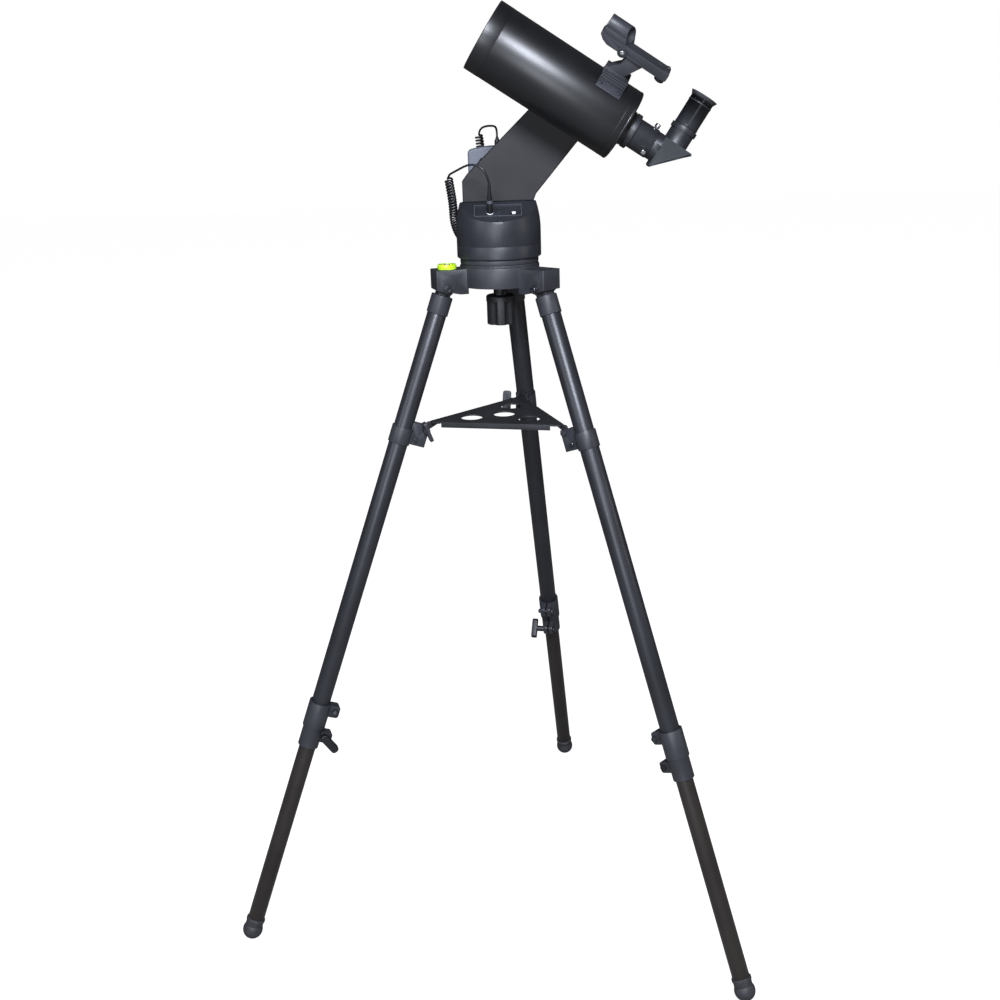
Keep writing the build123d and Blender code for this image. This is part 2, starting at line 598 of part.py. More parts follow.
# ---------------------------------------------------------------- accessory tray
def tray_corner_tab(name, sides):
    """Upright tabs at one corner that go between a bracket's ears, in the corner's frame.

    There x points to the middle of the tray, z up, and the origin is on the wing screw. A front tab
    has a slot open at the top, so that it drops off its screw as the tray folds.
    """
    under = TRAY_ABOVE_PIN - TRAY_SHEET
    half = TAB_HALF_WIDTH
    outline = [
        (-half, under), (-half, -half + 3), (-half + 3, -half), (half - 3, -half),
        (TAB_LENGTH, under - 2), (TAB_LENGTH, under + 1), (half, under + 1), (half, under),
    ]
    hole = cross_rod(TRAY_PIN_RADIUS + RUN_CLEARANCE, 0, 0, -20, 20)
    if name != "back":
        slot = TRAY_PIN_RADIUS + TAB_GAP
        rise = under + 2
        mouth = [(-slot, 0), (slot, 0), (slot + TAB_SLOT_LEAN * rise, rise), (-slot, rise)]
        hole = cross_rod(slot, 0, 0, -20, 20) + side_plate(mouth, (-20, 20))
    tabs = None
    for side in sides:
        inner = side * (EAR_GAP_HALF - TAB_GAP - TRAY_SHEET)
        outer = side * (EAR_GAP_HALF - TAB_GAP)
        plate = side_plate(outline, tuple(sorted((inner, outer))))
        tabs = plate if tabs is None else tabs + plate
    return tabs - hole


def corner_frame(azimuth):
    """Frame at a wing screw with x to the middle of the tray and z up."""
    pin = leg_frame(azimuth).from_local_coords(Vector(TRAY_PIN_OUT, 0, TRAY_PIN_DOWN))
    inward = Vector(-cos(radians(azimuth)), -sin(radians(azimuth)), 0)
    return Plane(origin=pin, x_dir=inward, z_dir=(0, 0, 1))


def tray():
    top = corner_frame(LEG_AZIMUTHS["back"]).origin.Z + TRAY_ABOVE_PIN
    outline = tray_outline(0)
    plate = extrude(outline, amount=-TRAY_SHEET).moved(Location((0, 0, top)))
    skirt = extrude(outline - tray_outline(TRAY_SHEET), amount=-TRAY_FLANGE).moved(Location((0, 0, top)))
    for azimuth in LEG_AZIMUTHS.values():
        mouth = block(
            (TRAY_CORNER_RADIUS - 14, TRAY_CORNER_RADIUS + 5), (-MOUTH_HALF, MOUTH_HALF),
            (top - 20, top - TRAY_SHEET),
        )
        skirt -= Rot(0, 0, azimuth) * mouth
    body = plate + skirt
    for radius, angle in tray_holes():
        body -= Pos(radius * cos(angle), radius * sin(angle), 0) * rod(TRAY_HOLE_RADIUS, top - 30, top + 5)
    sides = {"left": (1,), "right": (-1,), "back": (-1, 1)}
    for name, azimuth in LEG_AZIMUTHS.items():
        body += tray_corner_tab(name, sides[name]).moved(corner_frame(azimuth).location)
    return body


def tray_outline(inset):
    """Triangle with its corners cut square, towards the three legs."""
    points = []
    reach = TRAY_CORNER_RADIUS - inset
    half = (2 * (TRAY_INRADIUS - inset) - reach) * tan(radians(30))
    for azimuth in sorted(LEG_AZIMUTHS.values()):
        along = Vector(cos(radians(azimuth)), sin(radians(azimuth)), 0)
        across = Vector(-along.Y, along.X, 0)
        points += [along * reach + across * side * half for side in (-1, 1)]
    return make_face(Polyline(*points, close=True))


def tray_holes():
    """Middle hole and one towards each leg, as radius and angle in radians."""
    return [(0, 0)] + [(TRAY_HOLE_OFFSET, radians(azimuth)) for azimuth in LEG_AZIMUTHS.values()]


# ---------------------------------------------------------------- azimuth drum
def base_plate():
    """Fixed ring under the drum, with the post that the drum turns on."""
    plate = rod(BASE_PLATE_RADIUS, HEAD_TOP_Z, BASE_TOP_Z)
    groove = sleeve(BASE_PLATE_RADIUS + 1, BASE_PLATE_RADIUS - 1.2, HEAD_TOP_Z + 2.0, HEAD_TOP_Z + 4.0)
    post = rod(POST_RADIUS, BASE_TOP_Z, BASE_TOP_Z + POST_HEIGHT)
    socket = rod(MOUNT_BOLT_RADIUS + RUN_CLEARANCE, HEAD_TOP_Z - 1, HEAD_TOP_Z + 9)
    return plate - groove + post - socket


def azimuth_gear():
    return Pos(0, 0, GEAR_Z) * gear_blank(GEAR_TEETH, GEAR_WIDTH, POST_RADIUS)


def pinion():
    """Pinion with its shaft up into the motor, on the z axis."""
    half_pitch = 180 / PINION_TEETH
    teeth = Rot(0, 0, 180 + half_pitch) * gear_blank(PINION_TEETH, GEAR_WIDTH, 0)
    return teeth + rod(MOTOR_SHAFT_RADIUS, 0, GEAR_WIDTH + 4)


def azimuth_pinion():
    place = Rot(0, 0, AZIMUTH_MOTOR_ANGLE) * Pos(GEAR_CENTRES, 0, GEAR_Z)
    return place * pinion()


def altitude_pinion():
    return altitude_pinion_place() * pinion()


def altitude_pinion_place():
    """Beside the altitude gear, towards the arm's foot, with the motor's axis along y."""
    angle = atan2(-ALTITUDE_ABOVE_DRUM, -ALTITUDE_X)
    x = ALTITUDE_X + GEAR_CENTRES * cos(angle)
    z = ALTITUDE_Z + GEAR_CENTRES * sin(angle)
    return Pos(x, ALTITUDE_GEAR_Y, z) * Rot(-90, 0, 0) * Rot(0, 0, -degrees(angle))


def motor(length):
    """Small gear motor on the z axis above its pinion."""
    start = GEAR_WIDTH + AIR_GAP
    body = rod(MOTOR_RADIUS, start, start + length)
    return body - rod(MOTOR_SHAFT_RADIUS + RUN_CLEARANCE, 0, start + 6)


def drive_motors():
    """Azimuth motor on its two-post bracket, and altitude motor against the arm's far cover."""
    start = GEAR_WIDTH + AIR_GAP
    bracket = block((-8, 17), (-13, 13), (start, start + 2.5)) - rod(MOTOR_RADIUS - 0.5, -1, 20)
    for side in (-1, 1):
        bracket += Pos(13.5, side * 9.5, 0) * rod(3, -GEAR_ABOVE_FLOOR, start + 1)
    place = Rot(0, 0, AZIMUTH_MOTOR_ANGLE) * Pos(GEAR_CENTRES, 0, GEAR_Z)
    azimuth = place * (motor(AZIMUTH_MOTOR_HEIGHT) + bracket)
    length = ARM_BACK_Y - ARM_WALL - ALTITUDE_GEAR_Y - start
    return group(azimuth, altitude_pinion_place() * motor(length))


def drum_lower():
    ring = rod(DRUM_RADIUS, DRUM_FLOOR_Z, SEAM_Z)
    ring = fillet(ring.edges().group_by(Axis.Z)[0], 2.0)
    ring -= rod(DRUM_RADIUS - DRUM_WALL, DRUM_FLOOR_Z + DRUM_WALL, SEAM_Z + 1)
    return ring - rod(POST_RADIUS + RUN_CLEARANCE, DRUM_FLOOR_Z - 1, SEAM_Z)


def drum_outer(inset):
    """Upper drum: straight wall, then drawn in, with a sloping front. Inset makes the inside."""
    radius = DRUM_RADIUS - inset
    top_radius = DRUM_TOP_RADIUS - inset
    top = DRUM_TOP_Z - inset
    shoulder = SEAM_Z + DRUM_STRAIGHT
    bulge = (radius - 0.6 * (radius - top_radius) / 2, (shoulder + top) / 2)
    with BuildPart() as part:
        with BuildSketch(Plane.XZ):
            with BuildLine():
                Polyline((0, top), (0, SEAM_Z), (radius, SEAM_Z), (radius, shoulder))
                ThreePointArc((radius, shoulder), bulge, (top_radius, top))
                Line((top_radius, top), (0, top))
            make_face()
        revolve(axis=Axis.Z)
    edge_y = PANEL_EDGE_Y
    lean = radians(PANEL_SLOPE)
    slope = Plane(
        origin=Vector(0, edge_y, DRUM_TOP_Z) - Vector(0, -sin(lean), cos(lean)) * inset,
        x_dir=(1, 0, 0), z_dir=(0, -sin(lean), cos(lean)),
    )
    above = block((-80, 80), (-100, 100), (0, 60)).moved(slope.location)
    return part.part - above


def drum_upper():
    shell = drum_outer(0) - drum_outer(DRUM_WALL)
    frame = panel_frame()
    rim = panel_block(PANEL_RIM, -1, PANEL_RIM_HEIGHT)
    seat = panel_block(SEAT_CLEARANCE, -PANEL_THICKNESS, 5)
    window = panel_block(-3, -10, 1)
    shell += rim.moved(frame.location)
    return shell - seat.moved(frame.location) - window.moved(frame.location)


def panel_block(grow, low, high):
    half_x = PANEL_WIDTH / 2 + grow
    half_y = PANEL_DEPTH / 2 + grow
    return block((-half_x, half_x), (-half_y, half_y), (low, high))


def socket_panel():
    """Panel with two sockets and the switch's slot, in its own frame."""
    plate = panel_block(0, -PANEL_THICKNESS, -0.4)
    for x, y in (SOCKET_AT, POWER_SOCKET_AT):
        collar = Pos(x, y, -9) * Cylinder(SOCKET_RADIUS + 1.5, 9.4, align=BASE)
        plate += collar
        plate -= Pos(x, y, -8) * Cylinder(SOCKET_RADIUS, 12, align=BASE)
    x, y = SWITCH_AT
    slot_x = SWITCH_SIZE[0] / 2 + SWITCH_TRAVEL + AIR_GAP
    slot_y = SWITCH_SIZE[1] / 2 + AIR_GAP
    return plate - block((x - slot_x, x + slot_x), (y - slot_y, y + slot_y), (-5, 5))


def power_switch():
    x, y = SWITCH_AT
    width, depth, height = SWITCH_SIZE
    return block((x - width / 2, x + width / 2), (y - depth / 2, y + depth / 2), (-height, 0.8))


# ---------------------------------------------------------------- arm
def tangent_point(point, centre, radius, side):
    """Where a line from a point touches a circle, on one side."""
    away = atan2(point[1] - centre[1], point[0] - centre[0])
    reach = hypot(point[0] - centre[0], point[1] - centre[1])
    angle = away + side * acos(radius / reach)
    return (centre[0] + radius * cos(angle), centre[1] + radius * sin(angle))


def arm_solid(inset, y_range):
    """Slanted arm between two y values; inset makes the inside."""
    centre = (ALTITUDE_X, ALTITUDE_Z)
    left = (ARM_LEFT_KNEE[0], DRUM_TOP_Z + ARM_LEFT_KNEE[1])
    right = (ARM_RIGHT_KNEE[0], DRUM_TOP_Z + ARM_RIGHT_KNEE[1])
    end_left = tangent_point(left, centre, ARM_END_RADIUS, -1)
    end_right = tangent_point(right, centre, ARM_END_RADIUS, 1)
    tip_angle = atan2(ALTITUDE_ABOVE_DRUM, ALTITUDE_X)
    tip = (centre[0] + ARM_END_RADIUS * cos(tip_angle), centre[1] + ARM_END_RADIUS * sin(tip_angle))
    with BuildPart() as part:
        with BuildSketch(Plane.XZ.offset(-y_range[0])):
            with BuildLine():
                Polyline(
                    end_left, left, (ARM_BASE_LEFT, DRUM_TOP_Z + ARM_LEFT_SHOULDER),
                    (ARM_BASE_LEFT, DRUM_TOP_Z), (ARM_BASE_RIGHT, DRUM_TOP_Z), right, end_right,
                )
                ThreePointArc(end_right, tip, end_left)
            make_face()
            if inset:
                offset(amount=-inset, mode=Mode.REPLACE)
        extrude(amount=-(y_range[1] - y_range[0]))
    return part.part


def arm_near_cover():
    half = arm_solid(0, (ARM_FRONT_Y, ARM_SPLIT_Y))
    half = fillet(half.edges().group_by(Axis.Y)[0], 2.0)
    half -= arm_solid(ARM_WALL, (ARM_FRONT_Y + ARM_WALL, ARM_SPLIT_Y + 1))
    return half - cross_rod(HUB_SHAFT_RADIUS + RUN_CLEARANCE, ALTITUDE_X, ALTITUDE_Z, -5, 60)


def arm_far_cover():
    """Far half with the bearing for the altitude shaft and the hand controller's cradle."""
    half = arm_solid(0, (ARM_SPLIT_Y, ARM_BACK_Y))
    half = fillet(half.edges().group_by(Axis.Y)[-1], 8.0)
    half -= arm_solid(ARM_WALL, (ARM_SPLIT_Y - 1, ARM_BACK_Y - ARM_WALL))
    half += cross_rod(HUB_SHAFT_RADIUS + 4, ALTITUDE_X, ALTITUDE_Z, ARM_BACK_Y - 10, ARM_BACK_Y - 1)
    half -= cross_rod(HUB_SHAFT_RADIUS + RUN_CLEARANCE, ALTITUDE_X, ALTITUDE_Z, 0, ARM_BACK_Y - ARM_WALL)
    low = DRUM_TOP_Z + 6
    cradle = block(
        (HANDSET_X - CRADLE_WIDTH / 2, HANDSET_X + CRADLE_WIDTH / 2), (ARM_BACK_Y - 1, HANDSET_Y),
        (low, low + CRADLE_HEIGHT),
    )
    cradle = fillet(cradle.edges().filter_by(Axis.Y), 5.0)
    core = block(
        (HANDSET_X - CRADLE_WIDTH / 2 + 3, HANDSET_X + CRADLE_WIDTH / 2 - 3), (ARM_BACK_Y, HANDSET_Y - 3),
        (low + 3, low + CRADLE_HEIGHT - 3),
    )
    return half + (cradle - core)


def altitude_hub():
    """Disc with two dovetail jaws outside the arm; shaft and gear inside it."""
    face = ARM_FRONT_Y - AIR_GAP
    outer = face - HUB_THICKNESS
    hub = cross_rod(HUB_RADIUS, ALTITUDE_X, ALTITUDE_Z, outer, face)
    hub += cross_rod(HUB_SHAFT_RADIUS, ALTITUDE_X, ALTITUDE_Z, face - 1, ARM_BACK_Y - ARM_WALL - AIR_GAP)
    gear = Rot(-90, 0, 0) * Rot(0, 0, gear_phase()) * gear_blank(GEAR_TEETH, GEAR_WIDTH, 0)
    hub += Pos(ALTITUDE_X, ALTITUDE_GEAR_Y, ALTITUDE_Z) * gear
    frame = tube_frame()
    local_y = outer - TUBE_Y
    for side in (-1, 1):
        x_range = tuple(sorted((side * (BAR_HALF_BASE + SEAT_CLEARANCE), side * 26)))
        jaw = block(x_range, (local_y - 7.5, local_y + 1), (AXIS_FROM_REAR - 15, AXIS_FROM_REAR + 15))
        hub += jaw.moved(frame.location)
    hole_radius = SADDLE_SCREW_RADIUS + RUN_CLEARANCE
    screw_hole = up_rod(hole_radius, saddle_screw_y(), AXIS_FROM_REAR, -40, -BAR_HALF_BASE)
    return hub - screw_hole.moved(frame.location)


def gear_phase():
    """Turn the altitude gear so that a tooth faces the pinion's gap."""
    angle = degrees(atan2(-ALTITUDE_ABOVE_DRUM, -ALTITUDE_X))
    return -angle


def saddle_screw_y():
    """Where the saddle's screw lies across the jaws, in the tube frame."""
    return ARM_FRONT_Y - AIR_GAP - HUB_THICKNESS - TUBE_Y - 3.5


def dovetail_bar():
    """Bar on the tube's far side, in the tube frame, shaped to the tube where it meets it."""
    base = ARM_FRONT_Y - AIR_GAP - HUB_THICKNESS - TUBE_Y
    start = AXIS_FROM_REAR - BAR_LENGTH / 2 + 8
    bar = block((-BAR_HALF_TOP, BAR_HALF_TOP), (TUBE_RADIUS - 5, base), (start, start + BAR_LENGTH))
    foot = block((-BAR_HALF_BASE, BAR_HALF_BASE), (base - 4, base), (start, start + BAR_LENGTH))
    foot = chamfer(foot.edges().filter_by(Axis.Z).group_by(Axis.Y)[0], 3.0)
    bar = bar + foot - rod(TUBE_RADIUS, start - 1, start + BAR_LENGTH + 1)
    return bar


def saddle_knob():
    """Knob that tightens the lower jaw, in the tube frame."""
    y = saddle_screw_y()
    knob = up_rod(8.2, y, AXIS_FROM_REAR, -45, -HUB_RADIUS - 1)
    for index in range(8):
        angle = 2 * pi * index / 8
        knob -= up_rod(1.6, y + 8.8 * cos(angle), AXIS_FROM_REAR + 8.8 * sin(angle), -46, -HUB_RADIUS - 3)
    return knob + up_rod(SADDLE_SCREW_RADIUS, y, AXIS_FROM_REAR, -HUB_RADIUS - 2, -BAR_HALF_BASE - 1.5)


# ---------------------------------------------------------------- optical tube, in the tube frame
def optical_tube():
    return sleeve(TUBE_RADIUS, TUBE_RADIUS - TUBE_WALL, REAR_CELL_RIM, FRONT_CELL_START)


def front_cell():
    cell = rod(TUBE_RADIUS + FRONT_CELL_STEP, FRONT_CELL_START, TUBE_LENGTH)
    cell = fillet(cell.edges().group_by(Axis.Z)[-1], 1.2)
    cell += rod(TUBE_RADIUS - TUBE_WALL - SEAT_CLEARANCE, FRONT_CELL_START - CELL_SPIGOT, FRONT_CELL_START)
    lens_back = TUBE_LENGTH - LENS_SETBACK - LENS_THICKNESS
    cell -= rod(LENS_RADIUS - 2.5, FRONT_CELL_START - CELL_SPIGOT - 1, TUBE_LENGTH + 1)
    return cell - rod(LENS_RADIUS + SEAT_CLEARANCE, lens_back, TUBE_LENGTH + 1)


def corrector_lens():
    """Thick meniscus lens, hollow towards the sky."""
    back = TUBE_LENGTH - LENS_SETBACK - LENS_THICKNESS
    lens = rod(LENS_RADIUS, back, back + LENS_THICKNESS)
    sag = LENS_CURVE - sqrt(LENS_CURVE ** 2 - LENS_RADIUS ** 2)
    hollow = Pos(0, 0, back + LENS_THICKNESS - 1.0 + LENS_CURVE - sag / 2) * Sphere(LENS_CURVE)
    return lens - hollow


def rear_cell():
    """Rear casting with the boss for the visual back and the baffle tube."""
    rim = rod(TUBE_RADIUS + 0.3, 0, REAR_CELL_RIM)
    rim = fillet(rim.edges().group_by(Axis.Z)[0], 2.5)
    spigot = rod(TUBE_RADIUS - TUBE_WALL - SEAT_CLEARANCE, 0.5, REAR_CELL_RIM + CELL_SPIGOT)
    cell = rim + spigot - rod(MIRROR_RADIUS + 0.6, REAR_PLATE, 60)
    cell += rod(BOSS_RADIUS, -BOSS_LENGTH, 1)
    cell += rod(BAFFLE_RADIUS, 1, BAFFLE_LENGTH)
    cell -= rod(BAFFLE_RADIUS - 1.5, -BOSS_LENGTH - 1, BAFFLE_LENGTH + 1)
    return cell - Pos(0, FOCUS_KNOB_AT, -1) * Cylinder(2.5 + RUN_CLEARANCE, 10, align=BASE)


def primary_mirror():
    """Mirror in its sliding carrier on the baffle tube."""
    carrier = rod(MIRROR_RADIUS, MIRROR_AT, MIRROR_AT + MIRROR_THICKNESS)
    carrier += rod(BAFFLE_RADIUS + 4, MIRROR_AT - 4, MIRROR_AT + MIRROR_THICKNESS + 3)
    bowl = Pos(0, 0, MIRROR_AT + MIRROR_THICKNESS + 420 - 3) * Sphere(420)
    carrier -= bowl - rod(BAFFLE_RADIUS + 4, 0, 60)
    return carrier - rod(BAFFLE_RADIUS + RUN_CLEARANCE, 0, 100)


def focus_knob():
    knob = rod(FOCUS_KNOB_RADIUS, -2 - FOCUS_KNOB_LENGTH, -2)
    knob = fillet(knob.edges().group_by(Axis.Z)[0], 1.2)
    for index in range(12):
        angle = 2 * pi * index / 12
        groove = Pos((FOCUS_KNOB_RADIUS + 0.7) * cos(angle), (FOCUS_KNOB_RADIUS + 0.7) * sin(angle), -14)
        knob -= groove * Cylinder(1.4, 13, align=BASE)
    return Pos(0, FOCUS_KNOB_AT, 0) * (knob + rod(2.5, -3, 9))


def visual_back():
    """Flange and tube for 1.25 inch accessories, with two thumbscrews."""
    body = rod(NECK_RADIUS, -FLANGE_START, -BOSS_LENGTH) + rod(FLANGE_RADIUS, -FLANGE_END, -FLANGE_START)
    body = fillet(body.edges().group_by(Axis.Z)[0], 1.0)
    body += rod(BACK_RADIUS, -BACK_END, -FLANGE_END)
    body -= rod(BARREL_RADIUS + RUN_CLEARANCE, -BACK_END - 1, 0)
    for angle in THUMB_ANGLES:
        body -= thumb_place(angle) * rod(1.5 + RUN_CLEARANCE, 0, BACK_RADIUS + 1)
    return group(body, *(thumb_place(angle) * thumb_screw() for angle in THUMB_ANGLES))


def thumb_place(angle):
    """Frame with z pointing out of the visual back at an angle from the open side."""
    out = Vector(sin(radians(angle)), -cos(radians(angle)), 0)
    return Plane(origin=(0, 0, -THUMB_AT), x_dir=(0, 0, 1), z_dir=out).location


def thumb_screw():
    start = BACK_RADIUS + 1.0
    screw = rod(1.5, BARREL_RADIUS + 0.6, start + 1) + rod(3.3, start, start + 5.0)
    return chamfer(screw.edges().group_by(Axis.Z)[-1], 0.6)


def diagonal_body():
    """Prism housing with its nose and its eyepiece holder; the mirror lies along the long side."""
    outline = [
        (DIAGONAL_TOP, -DIAGONAL_START), (DIAGONAL_BOTTOM, -DIAGONAL_START),
        (DIAGONAL_BOTTOM - 0.6, -DIAGONAL_START - 3.0), (DIAGONAL_TOP - 4.5, -DIAGONAL_END),
        (DIAGONAL_TOP - 0.8, -DIAGONAL_END),
    ]
    inner = [
        (DIAGONAL_TOP - 3, -DIAGONAL_START - 3), (DIAGONAL_BOTTOM + 7, -DIAGONAL_START - 3),
        (DIAGONAL_TOP - 3, -DIAGONAL_END + 11),
    ]
    body = side_plate(outline, (-DIAGONAL_HALF, DIAGONAL_HALF))
    body = fillet(body.edges().filter_by(Axis.Y), 0.8)
    body -= side_plate(inner, (-DIAGONAL_HALF + DIAGONAL_WALL, DIAGONAL_HALF - DIAGONAL_WALL))
    body += rod(COLLAR_RADIUS, -DIAGONAL_START - 1, -COLLAR_START)
    body += rod(BARREL_RADIUS, -DIAGONAL_START, -FLANGE_END - 4)
    body -= rod(BARREL_RADIUS - 1.8, -DIAGONAL_START - 4, 0)
    body += up_rod(HOLDER_RADIUS, 0, -EYE_AXIS, DIAGONAL_TOP - 1.5, HOLDER_TOP)
    body += up_rod(RING_RADIUS, 0, -EYE_AXIS, HOLDER_TOP, RING_TOP)
    body -= up_rod(BARREL_RADIUS + RUN_CLEARANCE, 0, -EYE_AXIS, DIAGONAL_TOP - 1.5, RING_TOP + 1)
    return body - up_rod(BARREL_RADIUS - 2, 0, -EYE_AXIS, DIAGONAL_TOP - 8, RING_TOP)


def eyepiece():
    barrel = up_rod(BARREL_RADIUS, 0, -EYE_AXIS, DIAGONAL_TOP, RING_TOP + 1)
    barrel += up_rod(EYEPIECE_RADIUS, 0, -EYE_AXIS, RING_TOP + 0.1, EYEPIECE_TOP)
    barrel -= up_rod(BARREL_RADIUS - 1.6, 0, -EYE_AXIS, 0, RING_TOP - 8)
    barrel -= up_rod(9.0, 0, -EYE_AXIS, EYEPIECE_TOP - 3, EYEPIECE_TOP + 1)
    return group(barrel, eyecup())


def eyecup():
    """Flared rubber cup on top of the eyepiece."""
    low = EYEPIECE_TOP
    cup = turned([
        (10.0, low), (EYEPIECE_RADIUS, low), (CUP_RADIUS, CUP_TOP), (CUP_RADIUS - 1.4, CUP_TOP),
        (EYEPIECE_RADIUS - 2.4, low + 1.8), (10.0, low + 1.8),
    ])
    return Pos(0, 0, -EYE_AXIS) * Rot(0, 90, 0) * cup


# ---------------------------------------------------------------- red-dot finder, in the finder frame
def finder_shoe():
    """Curved foot plate on the tube with a grooved block; the bracket's foot slides in it."""
    ring = sleeve(TUBE_RADIUS + SHOE_PLATE, TUBE_RADIUS, SHOE_START, SHOE_END)
    half = (TUBE_RADIUS + 4) * sin(radians(SHOE_SPREAD))
    keep = block((TUBE_RADIUS * cos(radians(SHOE_SPREAD)), 80), (-half, half), (SHOE_START, SHOE_END))
    shoe = ring & keep
    tower = block((TUBE_RADIUS - 8, SHOE_TOP), (-SHOE_HALF, SHOE_HALF), (SHOE_START, SHOE_END))
    shoe += tower - rod(TUBE_RADIUS, 0, 100)
    for step in range(3):
        for side in (-1, 1):
            y = side * (SHOE_HALF + 0.3)
            x = SHOE_TOP - 2.4 - 3.6 * step
            shoe -= block((x - 0.9, x + 0.9), (y - 1.3, y + 1.3), (SHOE_START - 1, SHOE_END + 1))
    groove = [
        (FOOT_BOTTOM - 0.2, -11.2), (FOOT_BOTTOM - 0.2, 11.2), (SHOE_TOP + 1, 7.8), (SHOE_TOP + 1, -7.8),
    ]
    shoe -= prism_along_z(groove, (SHOE_START + 2.5, SHOE_END + 1))
    seat = TUBE_RADIUS + SHOE_PLATE + 0.02
    screws = [
        Rot(0, 0, side * SHOE_SCREW_ANGLE) * up_rod(2.4, 0, z, seat, seat + 1.4)
        for side in (-1, 1) for z in (SHOE_START + 4.2, SHOE_END - 3.8)
    ]
    lock_x, lock_z = SHOE_TOP - 4.5, SHOE_START + 5.5
    lock = cross_rod(4.6, lock_x, lock_z, SHOE_HALF + 1.7, SHOE_HALF + 8)
    lock += cross_rod(1.8, lock_x, lock_z, SHOE_HALF + 0.02, SHOE_HALF + 2)
    return group(shoe, *screws, lock)


def prism_along_z(points, z_range):
    """Prism with an outline of (x, y) points, between two z values."""
    face = make_face(Polyline(*points, close=True))
    return extrude(face, amount=z_range[1] - z_range[0]).moved(Location((0, 0, z_range[0])))


def finder_bracket():
    """Dovetail foot, leaning web and the pivot screw with its washers."""
    foot = prism_along_z(
        [(FOOT_BOTTOM, -10.9), (FOOT_BOTTOM, 10.9), (SHOE_TOP, 8.1), (SHOE_TOP, -8.1)],
        (SHOE_START + 3, SHOE_END + 0.5),
    )
    neck = block((SHOE_TOP - 0.5, SHOE_TOP + 2.5), (-7.4, 7.4), (SHOE_START + 6, SHOE_END + 0.5))
    web = side_plate(
        [(SHOE_TOP + 1, 63), (SHOE_TOP + 1, 38), (67, 33), (RAIL_BOTTOM - 2, 24), (RAIL_BOTTOM - 2, 48),
         (72, 50)],
        (-7.4, 7.4),
    )
    pivot_x, pivot_z = FINDER_PIVOT
    tongue = side_plate(
        [(RAIL_BOTTOM - 4, 26), (RAIL_BOTTOM + 5, 28), (RAIL_BOTTOM + 7, 60), (RAIL_BOTTOM - 1.5, 61),
         (RAIL_BOTTOM - 6, 47)],
        (-WEB_HALF, WEB_HALF),
    )
    hole = cross_rod(PIVOT_SCREW_RADIUS + RUN_CLEARANCE, pivot_x, pivot_z, -20, 20)
    return foot + neck + web + tongue - hole


def finder_body():
    """Rail with a hooded window tube in a cradle on its front, the pivot screw, and a top screw."""
    side_view = [
        (RAIL_TOP, RAIL_REAR + 2), (RAIL_TOP, RAIL_FRONT - 1), (RAIL_TOP - 4, RAIL_FRONT),
        (RAIL_BOTTOM + 3, RAIL_FRONT - 6), (RAIL_BOTTOM, RAIL_FRONT - 14), (RAIL_BOTTOM, RAIL_REAR + 2),
        (RAIL_BOTTOM + 2, RAIL_REAR), (RAIL_TOP - 2, RAIL_REAR),
    ]
    rail = side_plate(side_view, (-RAIL_HALF, RAIL_HALF))
    rail = fillet(rail.edges().filter_by(Axis.Z).group_by(Axis.X)[-1], 1.2)
    rail -= block((RAIL_BOTTOM - 1, RAIL_BOTTOM + 8.6), (-WEB_HALF - 0.4, WEB_HALF + 0.4), (22, 66))
    rail -= block((RAIL_TOP - 1.5, RAIL_TOP + 1), (-1.6, 1.6), (4, 13))
    rail -= up_rod(FINDER_STEM_RADIUS + RUN_CLEARANCE, 0, FINDER_KNOB_AT, RAIL_BOTTOM - 1, RAIL_BOTTOM + 6.5)
    hood = Pos(HOOD_AXIS, 0, 0) * rod(HOOD_RADIUS, HOOD_REAR - 12, RAIL_FRONT - 2)
    hood += block(
        (RAIL_TOP - 1, HOOD_AXIS - CRADLE_DROP), (-RAIL_HALF, RAIL_HALF), (HOOD_REAR - 12, RAIL_FRONT - 1.5),
    )
    slant = Plane(origin=(HOOD_AXIS, 0, HOOD_REAR), z_dir=(-HOOD_LEAN_UP, HOOD_LEAN_SIDE, 1))
    hood -= slant.location * block((-40, 40), (-40, 40), (-40, 0))
    body = rail + hood - Pos(HOOD_AXIS, 0, 0) * rod(HOOD_BORE, 0, RAIL_FRONT + 1)
    x, z = FINDER_PIVOT
    body -= cross_rod(PIVOT_SCREW_RADIUS + RUN_CLEARANCE, x, z, -20, 20)
    pin = cross_rod(PIVOT_SCREW_RADIUS, x, z, -RAIL_HALF - 1, RAIL_HALF + 1)
    pin += cross_rod(PIVOT_WASHER_RADIUS, x, z, -RAIL_HALF - 3.4, -RAIL_HALF - 0.05)
    pin += cross_rod(PIVOT_WASHER_RADIUS, x, z, RAIL_HALF + 0.05, RAIL_HALF + 3.4)
    top_screw = up_rod(2.4, 4.0, RAIL_REAR + 4.5, RAIL_TOP + 0.02, RAIL_TOP + 2.0)
    return group(body, pin, top_screw)


def finder_knob():
    top = RAIL_BOTTOM - AIR_GAP
    knob = up_rod(FINDER_KNOB_RADIUS, 0, FINDER_KNOB_AT, top - FINDER_KNOB_HEIGHT, top)
    knob = fillet(knob.edges().group_by(Axis.X)[0], 2.0)
    return knob + up_rod(FINDER_STEM_RADIUS, 0, FINDER_KNOB_AT, top - 1, RAIL_BOTTOM + 6)


